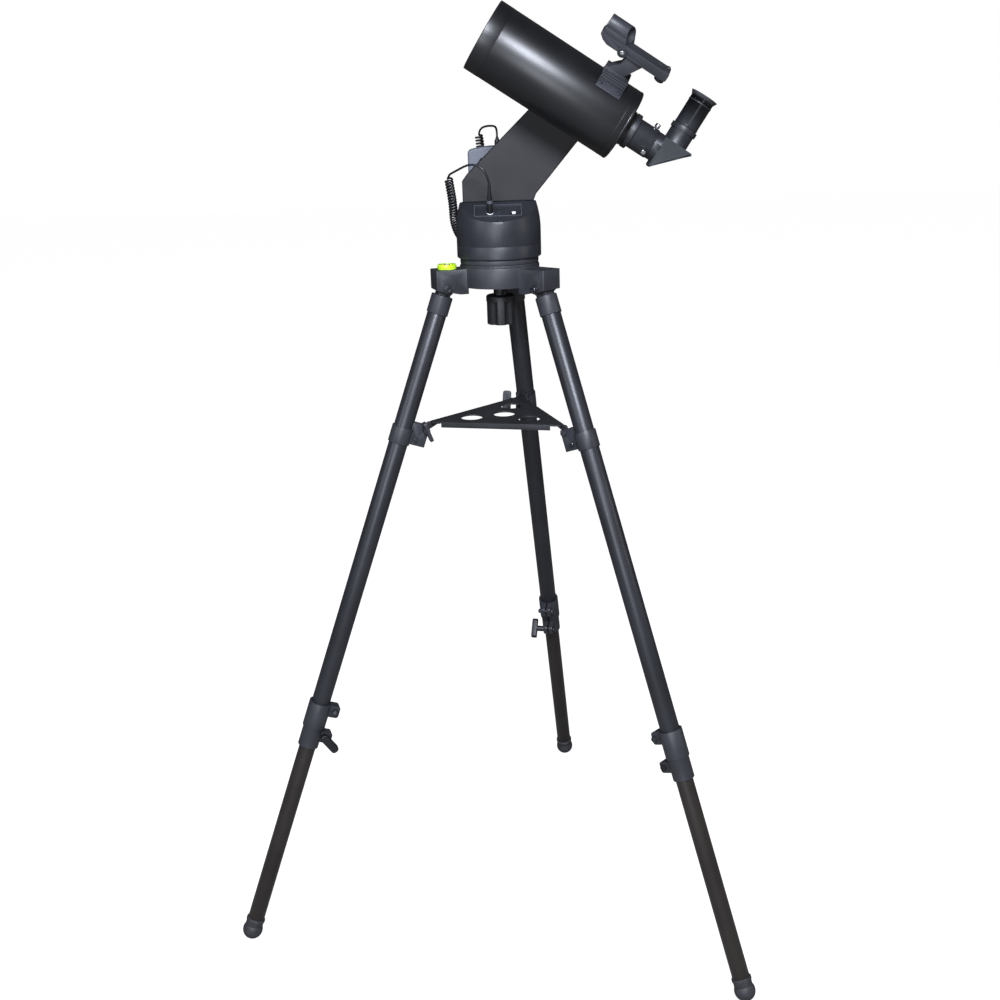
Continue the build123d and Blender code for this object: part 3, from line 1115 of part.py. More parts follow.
# ---------------------------------------------------------------- hand controller
def handset_outline(inset):
    """Flat outline with an arched top, at y = 0."""
    half = HANDSET_WIDTH / 2 - inset
    low = DRUM_TOP_Z + HANDSET_BOTTOM + inset
    top = low + HANDSET_HEIGHT - 2 * inset
    waist = half - 5
    left, right = HANDSET_X - half, HANDSET_X + half
    with BuildSketch(Plane.XZ) as sketch:
        with BuildLine():
            Polyline(
                (left, top - HANDSET_CROWN), (left, top - 48), (HANDSET_X - waist, low),
                (HANDSET_X + waist, low), (right, top - 48), (right, top - HANDSET_CROWN),
            )
            ThreePointArc((right, top - HANDSET_CROWN), (HANDSET_X, top), (left, top - HANDSET_CROWN))
        make_face()
        fillet(sketch.vertices(), max(6.0 - inset, 2.0))
    return sketch.sketch


def handset_case():
    case = extrude(handset_outline(0), amount=-HANDSET_DEPTH).moved(Location((0, HANDSET_Y, 0)))
    case = fillet(case.edges().group_by(Axis.Y)[0] + case.edges().group_by(Axis.Y)[-1], 3.0)
    hollow = extrude(handset_outline(3), amount=-(HANDSET_DEPTH - 6)).moved(Location((0, HANDSET_Y + 3, 0)))
    case -= hollow
    face = HANDSET_Y + HANDSET_DEPTH
    low = DRUM_TOP_Z + HANDSET_BOTTOM
    case -= block((HANDSET_X - 25, HANDSET_X + 25), (face - 1.2, face + 1), (low + 92, low + 112))
    for x, z in key_places():
        case -= block((x - 6.3, x + 6.3), (face - 5, face + 1), (z - 3.8, z + 3.8))
    plug_x, plug_y = LEAD_BACK_ROUTE[-1][0], LEAD_BACK_ROUTE[-1][1]
    return case - Pos(plug_x, plug_y, low + HANDSET_HEIGHT - 8) * Cylinder(SOCKET_RADIUS, 20, align=BASE)


def key_places():
    low = DRUM_TOP_Z + HANDSET_BOTTOM
    return [
        (HANDSET_X + (column - (KEY_COLUMNS - 1) / 2) * 18, low + 16 + row * 14)
        for row in range(KEY_ROWS) for column in range(KEY_COLUMNS)
    ]


def handset_keys():
    """Rubber key mat inside the case, with its keys through the front."""
    face = HANDSET_Y + HANDSET_DEPTH
    keys = None
    for x, z in key_places():
        key = block((x - 5.9, x + 5.9), (face - 4.5, face + 1.4), (z - 3.4, z + 3.4))
        keys = key if keys is None else keys + key
    places = key_places()
    x_range = (places[0][0] - 8, places[-1][0] + 8)
    z_range = (places[0][1] - 6, places[-1][1] + 6)
    return keys + block(x_range, (face - 5.5, face - 3.05), z_range)


# ---------------------------------------------------------------- cord
def route_path(points):
    """Straight runs joined by arcs as large as each corner's two runs allow."""
    vectors = [Vector(*point) for point in points]
    radii = []
    for before, corner, after in zip(vectors, vectors[1:], vectors[2:]):
        turn = radians((corner - before).get_angle(after - corner))
        run = min((corner - before).length, (after - corner).length)
        radii.append(0.45 * run / tan(turn / 2))
    return FilletPolyline(*points, radius=radii), radii


def cord_tube(label, points, diameter):
    path, radii = route_path(points)
    start = path @ 0
    section = Plane(origin=start, z_dir=path % 0) * Circle(diameter / 2)
    tube = sweep(section, path=path)
    area = pi * diameter ** 2 / 4
    ratio = tube.volume / (area * path.length)
    print(label, "length", round(path.length, 1), "volume ratio", round(ratio, 4))
    print("  radii", [round(radius, 1) for radius in radii], "least wanted", LIMP_DIAMETERS * diameter)
    return tube


def cord_plug_panel():
    """Plug in the panel's socket with its long strain relief, in the panel frame."""
    x, y = SOCKET_AT
    plug = rod(SOCKET_RADIUS - RUN_CLEARANCE, -7, 0.5) + rod(PLUG_RADIUS + 1.0, 0.5, 5)
    plug += rod(PLUG_RADIUS, 5, PLUG_LENGTH * 0.55)
    boot = Cone(PLUG_RADIUS - 0.4, CORD_DIAMETER / 2 + 0.4, PLUG_LENGTH * 0.45, align=BASE)
    return Pos(x, y, 0) * (plug + Pos(0, 0, PLUG_LENGTH * 0.55) * boot)


def cord_plug_handset():
    """Plug standing in the hand controller's top."""
    x, y, top = LEAD_BACK_ROUTE[-1]
    low = DRUM_TOP_Z + HANDSET_BOTTOM + HANDSET_HEIGHT
    plug = rod(SOCKET_RADIUS - RUN_CLEARANCE, low - 6, low + 0.3) + rod(PLUG_RADIUS + 0.4, low + 0.3, low + 7)
    boot = Pos(0, 0, low + 7) * Cone(PLUG_RADIUS - 0.3, CORD_DIAMETER / 2 + 0.3, top - low - 7, align=BASE)
    return Pos(x, y, 0) * (plug + boot)


# ---------------------------------------------------------------- build
def save_tripod():
    save("tripod_head", tripod_head())
    save("bubble_level", bubble_level())
    save("leg_pivot_bolts", group(*leg_pivot_bolts()))
    save("mount_knob", mount_knob())
    for name, azimuth in LEG_AZIMUTHS.items():
        save_leg(name, azimuth)
    save("accessory_tray", tray())


def save_mount():
    save("base_plate", base_plate())
    save("azimuth_gear", azimuth_gear())
    save("azimuth_pinion", azimuth_pinion())
    save("altitude_pinion", altitude_pinion())
    save("drive_motors", drive_motors())
    save("drum_lower", drum_lower())
    save("drum_upper", drum_upper())
    save("socket_panel", socket_panel(), panel_frame())
    save("power_switch", power_switch(), panel_frame())
    save("arm_near_cover", arm_near_cover())
    save("arm_far_cover", arm_far_cover())
    save("altitude_hub", altitude_hub())


def save_telescope():
    frame = tube_frame()
    save("dovetail_bar", dovetail_bar(), frame)
    save("saddle_knob", saddle_knob(), frame)
    save("optical_tube", optical_tube(), frame)
    save("front_cell", front_cell(), frame)
    save("corrector_lens", corrector_lens(), frame)
    save("rear_cell", rear_cell(), frame)
    save("primary_mirror", primary_mirror(), frame)
    save("focus_knob", focus_knob(), frame)
    save("visual_back", visual_back(), frame)
    save("diagonal_body", diagonal_body(), frame)
    save("eyepiece", eyepiece(), frame)
    finder = finder_frame()
    save("finder_shoe", finder_shoe(), finder)
    save("finder_bracket", finder_bracket(), finder)
    save("finder_body", finder_body(), finder)
    save("finder_knob", finder_knob(), finder)


def save_handset():
    save("handset_case", handset_case())
    save("handset_keys", handset_keys())
    save("cord_plug_panel", cord_plug_panel(), panel_frame())
    save("cord_lead_front", cord_tube("front lead", LEAD_FRONT_ROUTE, CORD_DIAMETER))
    save("curly_cord_coil", cord_tube("coil", COIL_ROUTE, COIL_DIAMETER))
    save("cord_lead_back", cord_tube("back lead", LEAD_BACK_ROUTE, CORD_DIAMETER))
    save("cord_plug_handset", cord_plug_handset())


os.makedirs("parts", exist_ok=True)
save_tripod()
save_mount()
save_telescope()
save_handset()
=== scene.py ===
"""Looks for a computer-driven telescope on a folding aluminium tripod.

Sizes are millimetres times MM, in the frame that the CAD parts share: the floor is z = 0, the azimuth
axis is +Z, and the optical tube points to -X and up.
"""
import json
from math import cos, pi, radians, sin

import bpy
from mathutils import Matrix, Vector


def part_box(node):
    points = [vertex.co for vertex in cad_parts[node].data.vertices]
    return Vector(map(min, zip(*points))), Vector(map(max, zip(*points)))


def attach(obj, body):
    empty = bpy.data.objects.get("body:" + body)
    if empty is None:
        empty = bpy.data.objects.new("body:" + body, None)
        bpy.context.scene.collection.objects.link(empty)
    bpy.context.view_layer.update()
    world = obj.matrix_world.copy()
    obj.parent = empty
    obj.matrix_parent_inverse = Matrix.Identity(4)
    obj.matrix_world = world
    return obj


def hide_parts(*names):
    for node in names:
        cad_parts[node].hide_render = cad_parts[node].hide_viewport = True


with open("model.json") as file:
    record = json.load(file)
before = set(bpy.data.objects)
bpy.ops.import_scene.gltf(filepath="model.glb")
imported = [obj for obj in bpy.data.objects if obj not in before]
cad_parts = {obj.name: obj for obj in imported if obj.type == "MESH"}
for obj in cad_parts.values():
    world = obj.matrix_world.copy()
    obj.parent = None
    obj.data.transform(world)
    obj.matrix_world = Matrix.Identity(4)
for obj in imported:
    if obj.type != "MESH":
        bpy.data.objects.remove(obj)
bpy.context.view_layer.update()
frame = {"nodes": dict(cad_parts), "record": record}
MM = 0.001
BODY_OF = {node: body for body, nodes in frame["record"]["behaviour"]["bodies"].items() for node in nodes}
SLOT_OF = {part["node"]: part["material_slot"] for part in frame["record"]["subparts"]}
JOINT = {joint["name"]: joint for joint in frame["record"]["behaviour"]["joints"]}
LEGS = ("left", "right", "back")

# ---------------------------------------------------------------- frames of the design
DIAGONAL_BEHIND_TUBE = 40 * MM
TUBE_FORWARD = Vector(JOINT["diagonal_turn"]["axis"])
TUBE_UP = Vector(JOINT["eyepiece_slide"]["axis"])
TUBE_REAR = Vector(JOINT["diagonal_turn"]["pos_m"]) + TUBE_FORWARD * DIAGONAL_BEHIND_TUBE
SIDE = Vector((0, 1, 0))
FINDER_UP = Vector(JOINT["finder_knob_turn"]["axis"])
FINDER_SIDE = Vector(JOINT["finder_tilt"]["axis"])


def axes(origin, x, y, z):
    """4x4 matrix of a local frame."""
    matrix = Matrix((x, y, z)).transposed().to_4x4()
    matrix.translation = origin
    return matrix


TUBE = axes(TUBE_REAR, TUBE_UP, SIDE, TUBE_FORWARD)
FINDER = axes(TUBE_REAR, FINDER_UP, FINDER_SIDE, TUBE_FORWARD)


def leg_axes(name):
    """Leg frame: z down the leg from its pivot, x inward, y along the pivot's axis."""
    down = Vector(JOINT[f"extend_{name}_leg"]["axis"])
    across = Vector(JOINT[f"fold_{name}_leg"]["axis"])
    return axes(Vector(JOINT[f"fold_{name}_leg"]["pos_m"]), across.cross(down), across, down)


# ---------------------------------------------------------------- camera, light and floor
CAMERA_PLACE = (3.39, -1794.98, 1248.62)
CAMERA_YAW, CAMERA_PITCH, CAMERA_ROLL = -0.442, -17.729, 1.867     # degrees
CAMERA_LENS = 44.61
FLOOR_SIZE = 30
FLOOR_GLOW = 0.97
ROOM_LIGHT = 0.07
LIGHTS = (
    ("key", (0.1, -2.4, 2.45), (0, 0, 1.0), 0.8, 150, (0.84, 0.89, 1.0)),
    ("front_low", (-0.5, -2.6, 0.9), (0, 0, 0.6), 1.0, 28, (0.88, 0.92, 1.0)),
    ("left", (-2.0, -1.7, 1.7), (0, 0, 0.8), 1.2, 18, (0.9, 0.93, 1.0)),
    ("right", (2.4, -1.0, 1.3), (0, 0, 0.7), 1.0, 8, (1.0, 0.95, 0.9)),
)


def make_camera():
    """Eye-level view from the front, a little above, looking down at the whole tripod."""
    yaw = radians(CAMERA_YAW)
    pitch = radians(CAMERA_PITCH)
    roll = radians(CAMERA_ROLL)
    ahead = Vector((sin(yaw) * cos(pitch), cos(yaw) * cos(pitch), sin(pitch)))
    level = Vector((cos(yaw), -sin(yaw), 0))
    below = ahead.cross(level)
    right = level * cos(roll) + below * sin(roll)
    down = below * cos(roll) - level * sin(roll)
    data = bpy.data.cameras.new("camera")
    data.lens = CAMERA_LENS
    data.clip_end = 50
    camera = bpy.data.objects.new("camera", data)
    camera.matrix_world = axes(Vector(CAMERA_PLACE) * MM, right, -down, -ahead)
    bpy.context.collection.objects.link(camera)
    bpy.context.scene.camera = camera


def make_light(name, place, target, size, power, tint):
    """Round area light at a place in metres, aimed at a target."""
    data = bpy.data.lights.new(name, "AREA")
    data.shape = "DISK"
    data.size = size
    data.energy = power
    data.color = tint
    light = bpy.data.objects.new(name, data)
    light.location = place
    light.rotation_mode = "QUATERNION"
    light.rotation_quaternion = (Vector(target) - Vector(place)).to_track_quat("-Z", "Y")
    bpy.context.collection.objects.link(light)


def seen_by_camera(tree, seen, unseen):
    """One number for what the camera sees directly, and another for reflections and bounced light."""
    ray = add(tree, "ShaderNodeLightPath").outputs["Is Camera Ray"]
    return add(
        tree, "ShaderNodeMapRange", {"Value": ray, "To Min": unseen, "To Max": seen},
    ).outputs["Result"]


def make_studio():
    """White paper round a dark room: the background is white, and only the lights shape the object."""
    world = bpy.data.worlds.new("white_studio")
    world.use_nodes = True
    background = world.node_tree.nodes["Background"]
    background.inputs["Color"].default_value = (1, 1, 1, 1)
    strength = seen_by_camera(world.node_tree, 1.0, ROOM_LIGHT)
    world.node_tree.links.new(strength, background.inputs["Strength"])
    bpy.context.scene.world = world
    bpy.context.scene.view_settings.view_transform = "Standard"
    for name, place, target, size, power, tint in LIGHTS:
        make_light(name, place, target, size, power, tint)
    clear_selection()
    bpy.ops.mesh.primitive_plane_add(size=FLOOR_SIZE, location=(0, 0, 0))
    floor = bpy.context.object
    floor.name = "floor"
    paper = new_material("white_paper_floor")
    surface = paper.node_tree.nodes["Principled BSDF"]
    surface.inputs["Base Color"].default_value = colour("#8a8782")
    surface.inputs["Roughness"].default_value = 0.9
    surface.inputs["Emission Color"].default_value = colour("#ffffff")
    glow = seen_by_camera(paper.node_tree, FLOOR_GLOW, 0.0)
    paper.node_tree.links.new(glow, surface.inputs["Emission Strength"])
    floor.data.materials.append(paper)


# ---------------------------------------------------------------- material helpers
def colour(text):
    """Linear RGBA from an sRGB hex value."""
    values = [int(text[place:place + 2], 16) / 255 for place in (1, 3, 5)]
    return [v / 12.92 if v <= 0.04045 else ((v + 0.055) / 1.055) ** 2.4 for v in values] + [1]


def new_material(name):
    material = bpy.data.materials.new(name)
    material.use_nodes = True
    return material


def add(tree, kind, links=None, **settings):
    """Adds a node, sets its properties, and sets or links its inputs."""
    node = tree.nodes.new(kind)
    for name, value in settings.items():
        setattr(node, name, value)
    for name, value in (links or {}).items():
        if isinstance(value, bpy.types.NodeSocket):
            tree.links.new(value, node.inputs[name])
        else:
            node.inputs[name].default_value = value
    return node


def ramp(tree, factor, stops):
    """Colour ramp from (place, hex colour) stops."""
    node = add(tree, "ShaderNodeValToRGB", {"Fac": factor})
    elements = node.color_ramp.elements
    while len(elements) < len(stops):
        elements.new(0.5)
    for element, (place, text) in zip(elements, stops):
        element.position = place
        element.color = colour(text)
    return node.outputs["Color"]


def span(tree, factor, low, high):
    """A noise value between 0.3 and 0.7 spread over low to high."""
    node = add(
        tree, "ShaderNodeMapRange",
        {"Value": factor, "From Min": 0.3, "From Max": 0.7, "To Min": low, "To Max": high},
    )
    return node.outputs["Result"]


def grain(tree, size, detail=2.0, stretch=None, turn=None):
    """Noise whose spots are about size millimetres across, along the piece's own axes."""
    place = add(tree, "ShaderNodeTexCoord").outputs["Object"]
    if turn is not None:
        place = add(tree, "ShaderNodeMapping", {"Vector": place, "Rotation": turn}).outputs["Vector"]
    if stretch is not None:
        place = add(tree, "ShaderNodeMapping", {"Vector": place, "Scale": stretch}).outputs["Vector"]
    noise = add(tree, "ShaderNodeTexNoise", {"Vector": place, "Scale": 1 / (size * MM), "Detail": detail})
    return noise.outputs["Fac"]


def finish_with(material, shades, rough, fine, bump, tint_size=30.0, **sockets):
    """Colour drifting between two shades, roughness over a range, and a raised fine grain."""
    tree = material.node_tree
    surface = tree.nodes["Principled BSDF"]
    drift = grain(tree, tint_size, 3.0)
    tree.links.new(ramp(tree, drift, [(0.35, shades[0]), (0.65, shades[1])]), surface.inputs["Base Color"])
    pattern = grain(tree, fine)
    tree.links.new(span(tree, pattern, *rough), surface.inputs["Roughness"])
    raised = add(tree, "ShaderNodeBump", {"Height": pattern, "Strength": bump, "Distance": fine * 0.25 * MM})
    tree.links.new(raised.outputs["Normal"], surface.inputs["Normal"])
    for name, value in sockets.items():
        surface.inputs[name.replace("_", " ")].default_value = value
    return material


# ---------------------------------------------------------------- materials
def satin_black_paint():
    """Baked paint on the aluminium tube: smooth, with a broad soft highlight and faint orange peel."""
    return finish_with(
        new_material("satin_black_paint"), ("#0d0d0f", "#111214"), (0.34, 0.4), 1.4, 0.04, 60.0,
        Specular_IOR_Level=0.5,
    )


def spark_grain_abs(name, shades, rough=(0.5, 0.62), bump=0.22):
    """Moulded ABS from a spark-eroded tool: a fine pebble that breaks the highlight up.

    The real grain is about 0.3 mm and is drawn at 0.8 mm so that it shows.
    """
    return finish_with(new_material(name), shades, rough, 0.8, bump, 45.0, Specular_IOR_Level=0.38)


def anodised_tube(name, shades, leg):
    """Drawn aluminium tube with dark anodising: fine draw lines along it stretch the highlight."""
    material = new_material(name)
    tree = material.node_tree
    surface = tree.nodes["Principled BSDF"]
    turn = leg_axes(leg).to_3x3().inverted().to_euler()
    lines = grain(tree, 0.9, 3.0, (1, 1, 0.01), turn)
    patches = grain(tree, 70.0, 3.0)
    tree.links.new(ramp(tree, patches, [(0.35, shades[0]), (0.65, shades[1])]), surface.inputs["Base Color"])
    tree.links.new(span(tree, lines, 0.34, 0.44), surface.inputs["Roughness"])
    raised = add(tree, "ShaderNodeBump", {"Height": lines, "Strength": 0.05, "Distance": 0.05 * MM})
    tree.links.new(raised.outputs["Normal"], surface.inputs["Normal"])
    surface.inputs["Metallic"].default_value = 0.35
    surface.inputs["Specular IOR Level"].default_value = 0.5
    return material


def bright_nickel():
    """Nickel-plated steel screws: near mirror, with faint tool rings."""
    material = finish_with(
        new_material("bright_nickel_steel"), ("#c3c6ca", "#d9dbde"), (0.14, 0.24), 0.5, 0.04, 6.0,
    )
    material.node_tree.nodes["Principled BSDF"].inputs["Metallic"].default_value = 1.0
    return material


def soft_rubber():
    """Moulded rubber: matt, faintly bloomed, with its tone drifting a little at random."""
    return finish_with(
        new_material("moulded_rubber"), ("#2b2b2e", "#353538"), (0.5, 0.62), 0.6, 0.15, 8.0,
        Specular_IOR_Level=0.3,
    )


def cord_vinyl():
    """Flexible PVC jacket: smooth with a low gloss line along each turn."""
    return finish_with(
        new_material("flexible_pvc_jacket"), ("#101012", "#17171a"), (0.34, 0.44), 0.5, 0.04, 12.0,
        Specular_IOR_Level=0.55,
    )


def powder_coat():
    """Powder coat on sheet steel: a fine even crinkle."""
    return finish_with(
        new_material("black_powder_coat"), ("#1b1c1f", "#222327"), (0.42, 0.55), 0.9, 0.3, 35.0,
        Specular_IOR_Level=0.45,
    )


def black_anodised_eyepiece():
    """Turned aluminium, hard anodised: tight turning rings and a narrow highlight."""
    material = finish_with(
        new_material("turned_black_anodised"), ("#1d1e22", "#24262a"), (0.42, 0.5), 0.6, 0.06, 15.0,
    )
    material.node_tree.nodes["Principled BSDF"].inputs["Metallic"].default_value = 0.2
    return material


def lime_vial_with_painted_glow():
    """Lime acrylic cup over a liquid, with a faint even painted glow standing in for light passing through
    it.
    """
    return finish_with(
        new_material("lime_acrylic"), ("#a4cf1a", "#bfe531"), (0.1, 0.16), 2.0, 0.02, 6.0,
        # painted glow: a faint lime emission in place of light shining through the cup
        Emission_Color=colour("#9dc81a"), Emission_Strength=0.18, Coat_Weight=0.5,
    )


def coated_glass():
    """Optical glass with a green multicoating: clear ahead, dark green at a slant."""
    material = new_material("coated_optical_glass")
    tree = material.node_tree
    surface = tree.nodes["Principled BSDF"]
    slant = add(tree, "ShaderNodeLayerWeight", {"Blend": 0.35}).outputs["Facing"]
    tree.links.new(ramp(tree, slant, [(0.1, "#0c1a18"), (0.8, "#2f6b5c")]), surface.inputs["Base Color"])
    surface.inputs["Roughness"].default_value = 0.04
    surface.inputs["Transmission Weight"].default_value = 0.6
    surface.inputs["IOR"].default_value = 1.52
    surface.inputs["Coat Weight"].default_value = 0.8
    return material


def silvered_mirror():
    """Front-silvered glass."""
    material = finish_with(new_material("silvered_glass"), ("#cfd4d8", "#dfe3e6"), (0.03, 0.06), 3.0, 0.01)
    material.node_tree.nodes["Principled BSDF"].inputs["Metallic"].default_value = 1.0
    return material


def display_glass():
    """Clear acrylic over a grey-green liquid crystal: dark, with a sharp reflection."""
    return finish_with(
        new_material("display_acrylic"), ("#2c3a33", "#33423a"), (0.06, 0.1), 2.0, 0.01, 12.0,
        Coat_Weight=0.6,
    )


def dulled_zinc():
    """Black-zinc screws: dark metal with a soft bright edge."""
    material = finish_with(
        new_material("black_zinc_steel"), ("#4a4b50", "#5c5e63"), (0.28, 0.4), 0.5, 0.05, 5.0,
    )
    material.node_tree.nodes["Principled BSDF"].inputs["Metallic"].default_value = 0.9
    return material


def acetal():
    """White acetal gears: waxy and slightly see-through."""
    return finish_with(
        new_material("white_acetal"), ("#dcd8cb", "#e9e5da"), (0.35, 0.5), 0.8, 0.05, 9.0,
        Subsurface_Weight=0.1, Subsurface_Scale=0.002,
    )


def make_materials():
    shades = {
        "cast_black": spark_grain_abs("cast_grain_black", ("#27282c", "#2e2f34"), (0.4, 0.5), 0.16),
        "drum_black": spark_grain_abs("satin_abs_charcoal", ("#202126", "#26282d"), (0.36, 0.46), 0.1),
        "arm_grey": spark_grain_abs("matt_abs_dark_grey", ("#171619", "#1b1a1d"), (0.6, 0.72), 0.2),
        "tube_black": satin_black_paint(),
        "tray_black": powder_coat(),
        "steel_bright": bright_nickel(),
        "knob_black": spark_grain_abs("grip_abs_black", ("#111113", "#161618"), (0.42, 0.55)),
        "diagonal_grey": spark_grain_abs("matt_abs_slate", ("#25282b", "#2a2e31"), (0.62, 0.75), 0.15),
        "eyepiece_black": black_anodised_eyepiece(),
        "rubber_black": soft_rubber(),
        "glass_clear": coated_glass(),
        "mirror_bright": silvered_mirror(),
        "level_lime": lime_vial_with_painted_glow(),
        "gear_white": acetal(),
        "handset_grey": spark_grain_abs("satin_abs_slate_grey", ("#4b4e56", "#545861"), (0.45, 0.55), 0.12),
        "switch_white": spark_grain_abs("white_abs", ("#e2e2df", "#eeeeec"), (0.3, 0.4), 0.05),
        "cord_black": cord_vinyl(),
        "display": display_glass(),
        "leg_screw": dulled_zinc(),
    }
    dark_grey = ("#26272b", "#2c2d32")
    brown_black = ("#282423", "#302b29")
    for leg in LEGS:
        shades[f"leg_dark_{leg}"] = anodised_tube(f"anodised_dark_grey_{leg}", dark_grey, leg)
        shades[f"leg_lower_{leg}"] = anodised_tube(f"anodised_brown_black_{leg}", brown_black, leg)
    return shades


# ---------------------------------------------------------------- modelling helpers
def clear_selection():
    """Leaves any edit mode and selects nothing."""
    if bpy.context.object and bpy.context.object.mode != "OBJECT":
        bpy.ops.object.mode_set(mode="OBJECT")
    bpy.ops.object.select_all(action="DESELECT")


def only(piece):
    """Makes a piece the one selected and active object."""
    clear_selection()
    piece.select_set(True)
    bpy.context.view_layer.objects.active = piece


def select_faces(piece, test):
    """Leaves edit mode and selects the faces for which test(centre, normal) holds."""
    bpy.ops.object.mode_set(mode="OBJECT")
    mesh = piece.data
    for item in (mesh.vertices, mesh.edges, mesh.polygons):
        item.foreach_set("select", [False] * len(item))
    for face in mesh.polygons:
        face.select = bool(test(face.center, face.normal))
    bpy.ops.object.mode_set(mode="EDIT")
    bpy.ops.mesh.select_mode(type="FACE")


def settle(piece, place=None):
    """Puts a piece's place into its mesh, so that its object sits at the origin."""
    only(piece)
    if place is not None:
        piece.matrix_world = place @ piece.matrix_world
    bpy.ops.object.transform_apply(location=True, rotation=True, scale=True)


def smooth(piece, angle=35):
    only(piece)
    bpy.ops.object.shade_smooth_by_angle(angle=radians(angle))


def round_edges(piece, width, segments=2, angle=30):
    """Bevels every edge sharper than an angle in degrees, width in millimetres."""
    only(piece)
    bevel = piece.modifiers.new("edges", "BEVEL")
    bevel.width = width * MM
    bevel.segments = segments
    bevel.limit_method = "ANGLE"
    bevel.angle_limit = radians(angle)
    bevel.use_clamp_overlap = True
    bevel.miter_outer = "MITER_ARC"
    bpy.ops.object.modifier_apply(modifier="edges")


def place_in(piece, material, body):
    """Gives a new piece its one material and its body."""
    piece.data.materials.clear()
    piece.data.materials.append(material)
    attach(piece, body)


def facing(frame_matrix, point, direction):
    """Frame at a point of another frame, in millimetres, with z along a direction of it."""
    z = Vector(direction).normalized()
    x = z.orthogonal().normalized()
    return frame_matrix @ axes(Vector(point) * MM, x, z.cross(x), z)


def stepped(name, place, steps, material, body, sides=32, edge=0.0):
    """Round piece about its own z, drawn up step by step through (radius, height) pairs.

    Steps that end where they began make a ring, and others a solid with a flat cap at each end.
    """
    radius, height = steps[0]
    fill = "NOTHING" if steps[0] == steps[-1] else "NGON"
    clear_selection()
    bpy.ops.mesh.primitive_circle_add(
        vertices=sides, radius=radius * MM, fill_type=fill, location=(0, 0, height * MM),
    )
    piece = bpy.context.object
    piece.name = name
    settle(piece)
    bpy.ops.object.mode_set(mode="EDIT")
    bpy.ops.mesh.select_mode(type="EDGE")
    bpy.ops.mesh.select_all(action="SELECT")
    for next_radius, next_height in steps[1:]:
        rise = (0, 0, (next_height - height) * MM)
        bpy.ops.mesh.extrude_region_move(TRANSFORM_OT_translate={"value": rise})
        ratio = next_radius / radius
        bpy.ops.transform.resize(value=(ratio, ratio, 1), center_override=(0, 0, 0))
        radius, height = next_radius, next_height
    bpy.ops.mesh.select_all(action="SELECT")
    bpy.ops.mesh.remove_doubles(threshold=0.002 * MM)
    bpy.ops.mesh.normals_make_consistent(inside=False)
    bpy.ops.object.mode_set(mode="OBJECT")
    if edge:
        round_edges(piece, edge)
    smooth(piece)
    settle(piece, place)
    place_in(piece, material, body)
    return piece


def finished(node, material, edge=0.4, angle=40, shape=None):
    """A merged copy of a CAD part with its sharp edges broken, in place of the part."""
    piece = bpy.data.objects.new(f"{node}_finished", frame["nodes"][node].data.copy())
    bpy.context.collection.objects.link(piece)
    only(piece)
    bpy.ops.object.mode_set(mode="EDIT")
    bpy.ops.mesh.select_all(action="SELECT")
    bpy.ops.mesh.remove_doubles(threshold=0.002 * MM)
    bpy.ops.mesh.dissolve_limited(angle_limit=radians(0.4))
    if shape:
        shape(piece)
    bpy.ops.object.mode_set(mode="OBJECT")
    if edge:
        round_edges(piece, edge, 2, angle)
    smooth(piece)
    place_in(piece, material, BODY_OF[node])
    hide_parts(node)
    return piece


def paint(node, material):
    """Gives a CAD part that stays its material."""
    materials = frame["nodes"][node].data.materials
    materials.clear()
    materials.append(material)


# ---------------------------------------------------------------- hand controller's cord
CORD_RADIUS = 1.5 * MM
COIL_RADIUS = 5.1 * MM
COIL_PITCH = 4.3 * MM
POINTS_PER_TURN = 14
LEAD_FRONT = [
    (-11.0, -48.9, 1143.2), (-12.2, -53.0, 1153.5), (-17.5, -55.5, 1163.5), (-27.0, -52.5, 1170.5),
    (-39.5, -43.5, 1170.6), (-51.5, -29.0, 1164.5), (-61.5, -14.0, 1159.0), (-66.5, -3.0, 1156.5),
    (-68.3, 5.0, 1150.5),
]
COIL = [
    (-68.3, 5.0, 1150.5), (-67.0, 8.6, 1140.0), (-63.8, 18.0, 1114.0), (-64.0, 31.0, 1086.0),
    (-55.5, 51.0, 1062.5), (-41.0, 73.0, 1050.0), (-23.0, 92.5, 1052.5), (-14.0, 103.5, 1075.0),
    (-13.5, 106.5, 1105.0), (-16.5, 105.5, 1137.0), (-21.0, 102.0, 1169.0), (-24.8, 97.6, 1206.0),
]
LEAD_BACK = [
    (-24.8, 97.6, 1206.0), (-23.6, 96.4, 1212.5), (-18.6, 94.4, 1217.0), (-10.5, 90.5, 1218.5),
    (-1.8, 85.3, 1218.1), (0.8, 78.0, 1215.7), (1.8, 74.0, 1210.0), (1.8, 74.0, 1203.0),
]


def nurbs(name, points, radius=0.0, smoothness=12):
    """Open NURBS curve through its ends, with the points in metres."""
    curve = bpy.data.curves.new(name, "CURVE")
    curve.dimensions = "3D"
    spline = curve.splines.new("NURBS")
    spline.points.add(len(points) - 1)
    for point, place in zip(spline.points, points):
        point.co = (*place, 1)
    spline.order_u = 3
    spline.use_endpoint_u = True
    spline.resolution_u = smoothness
    curve.resolution_u = smoothness
    curve.bevel_depth = radius
    curve.bevel_resolution = 3
    curve.use_fill_caps = True
    piece = bpy.data.objects.new(name, curve)
    bpy.context.collection.objects.link(piece)
    return piece


def route_points(name, route):
    """Close points along a route's own NURBS line."""
    line = nurbs(name, [Vector(point) * MM for point in route])
    mesh = bpy.data.meshes.new_from_object(line)
    points = [vertex.co.copy() for vertex in mesh.vertices]
    bpy.data.objects.remove(line)
    return points


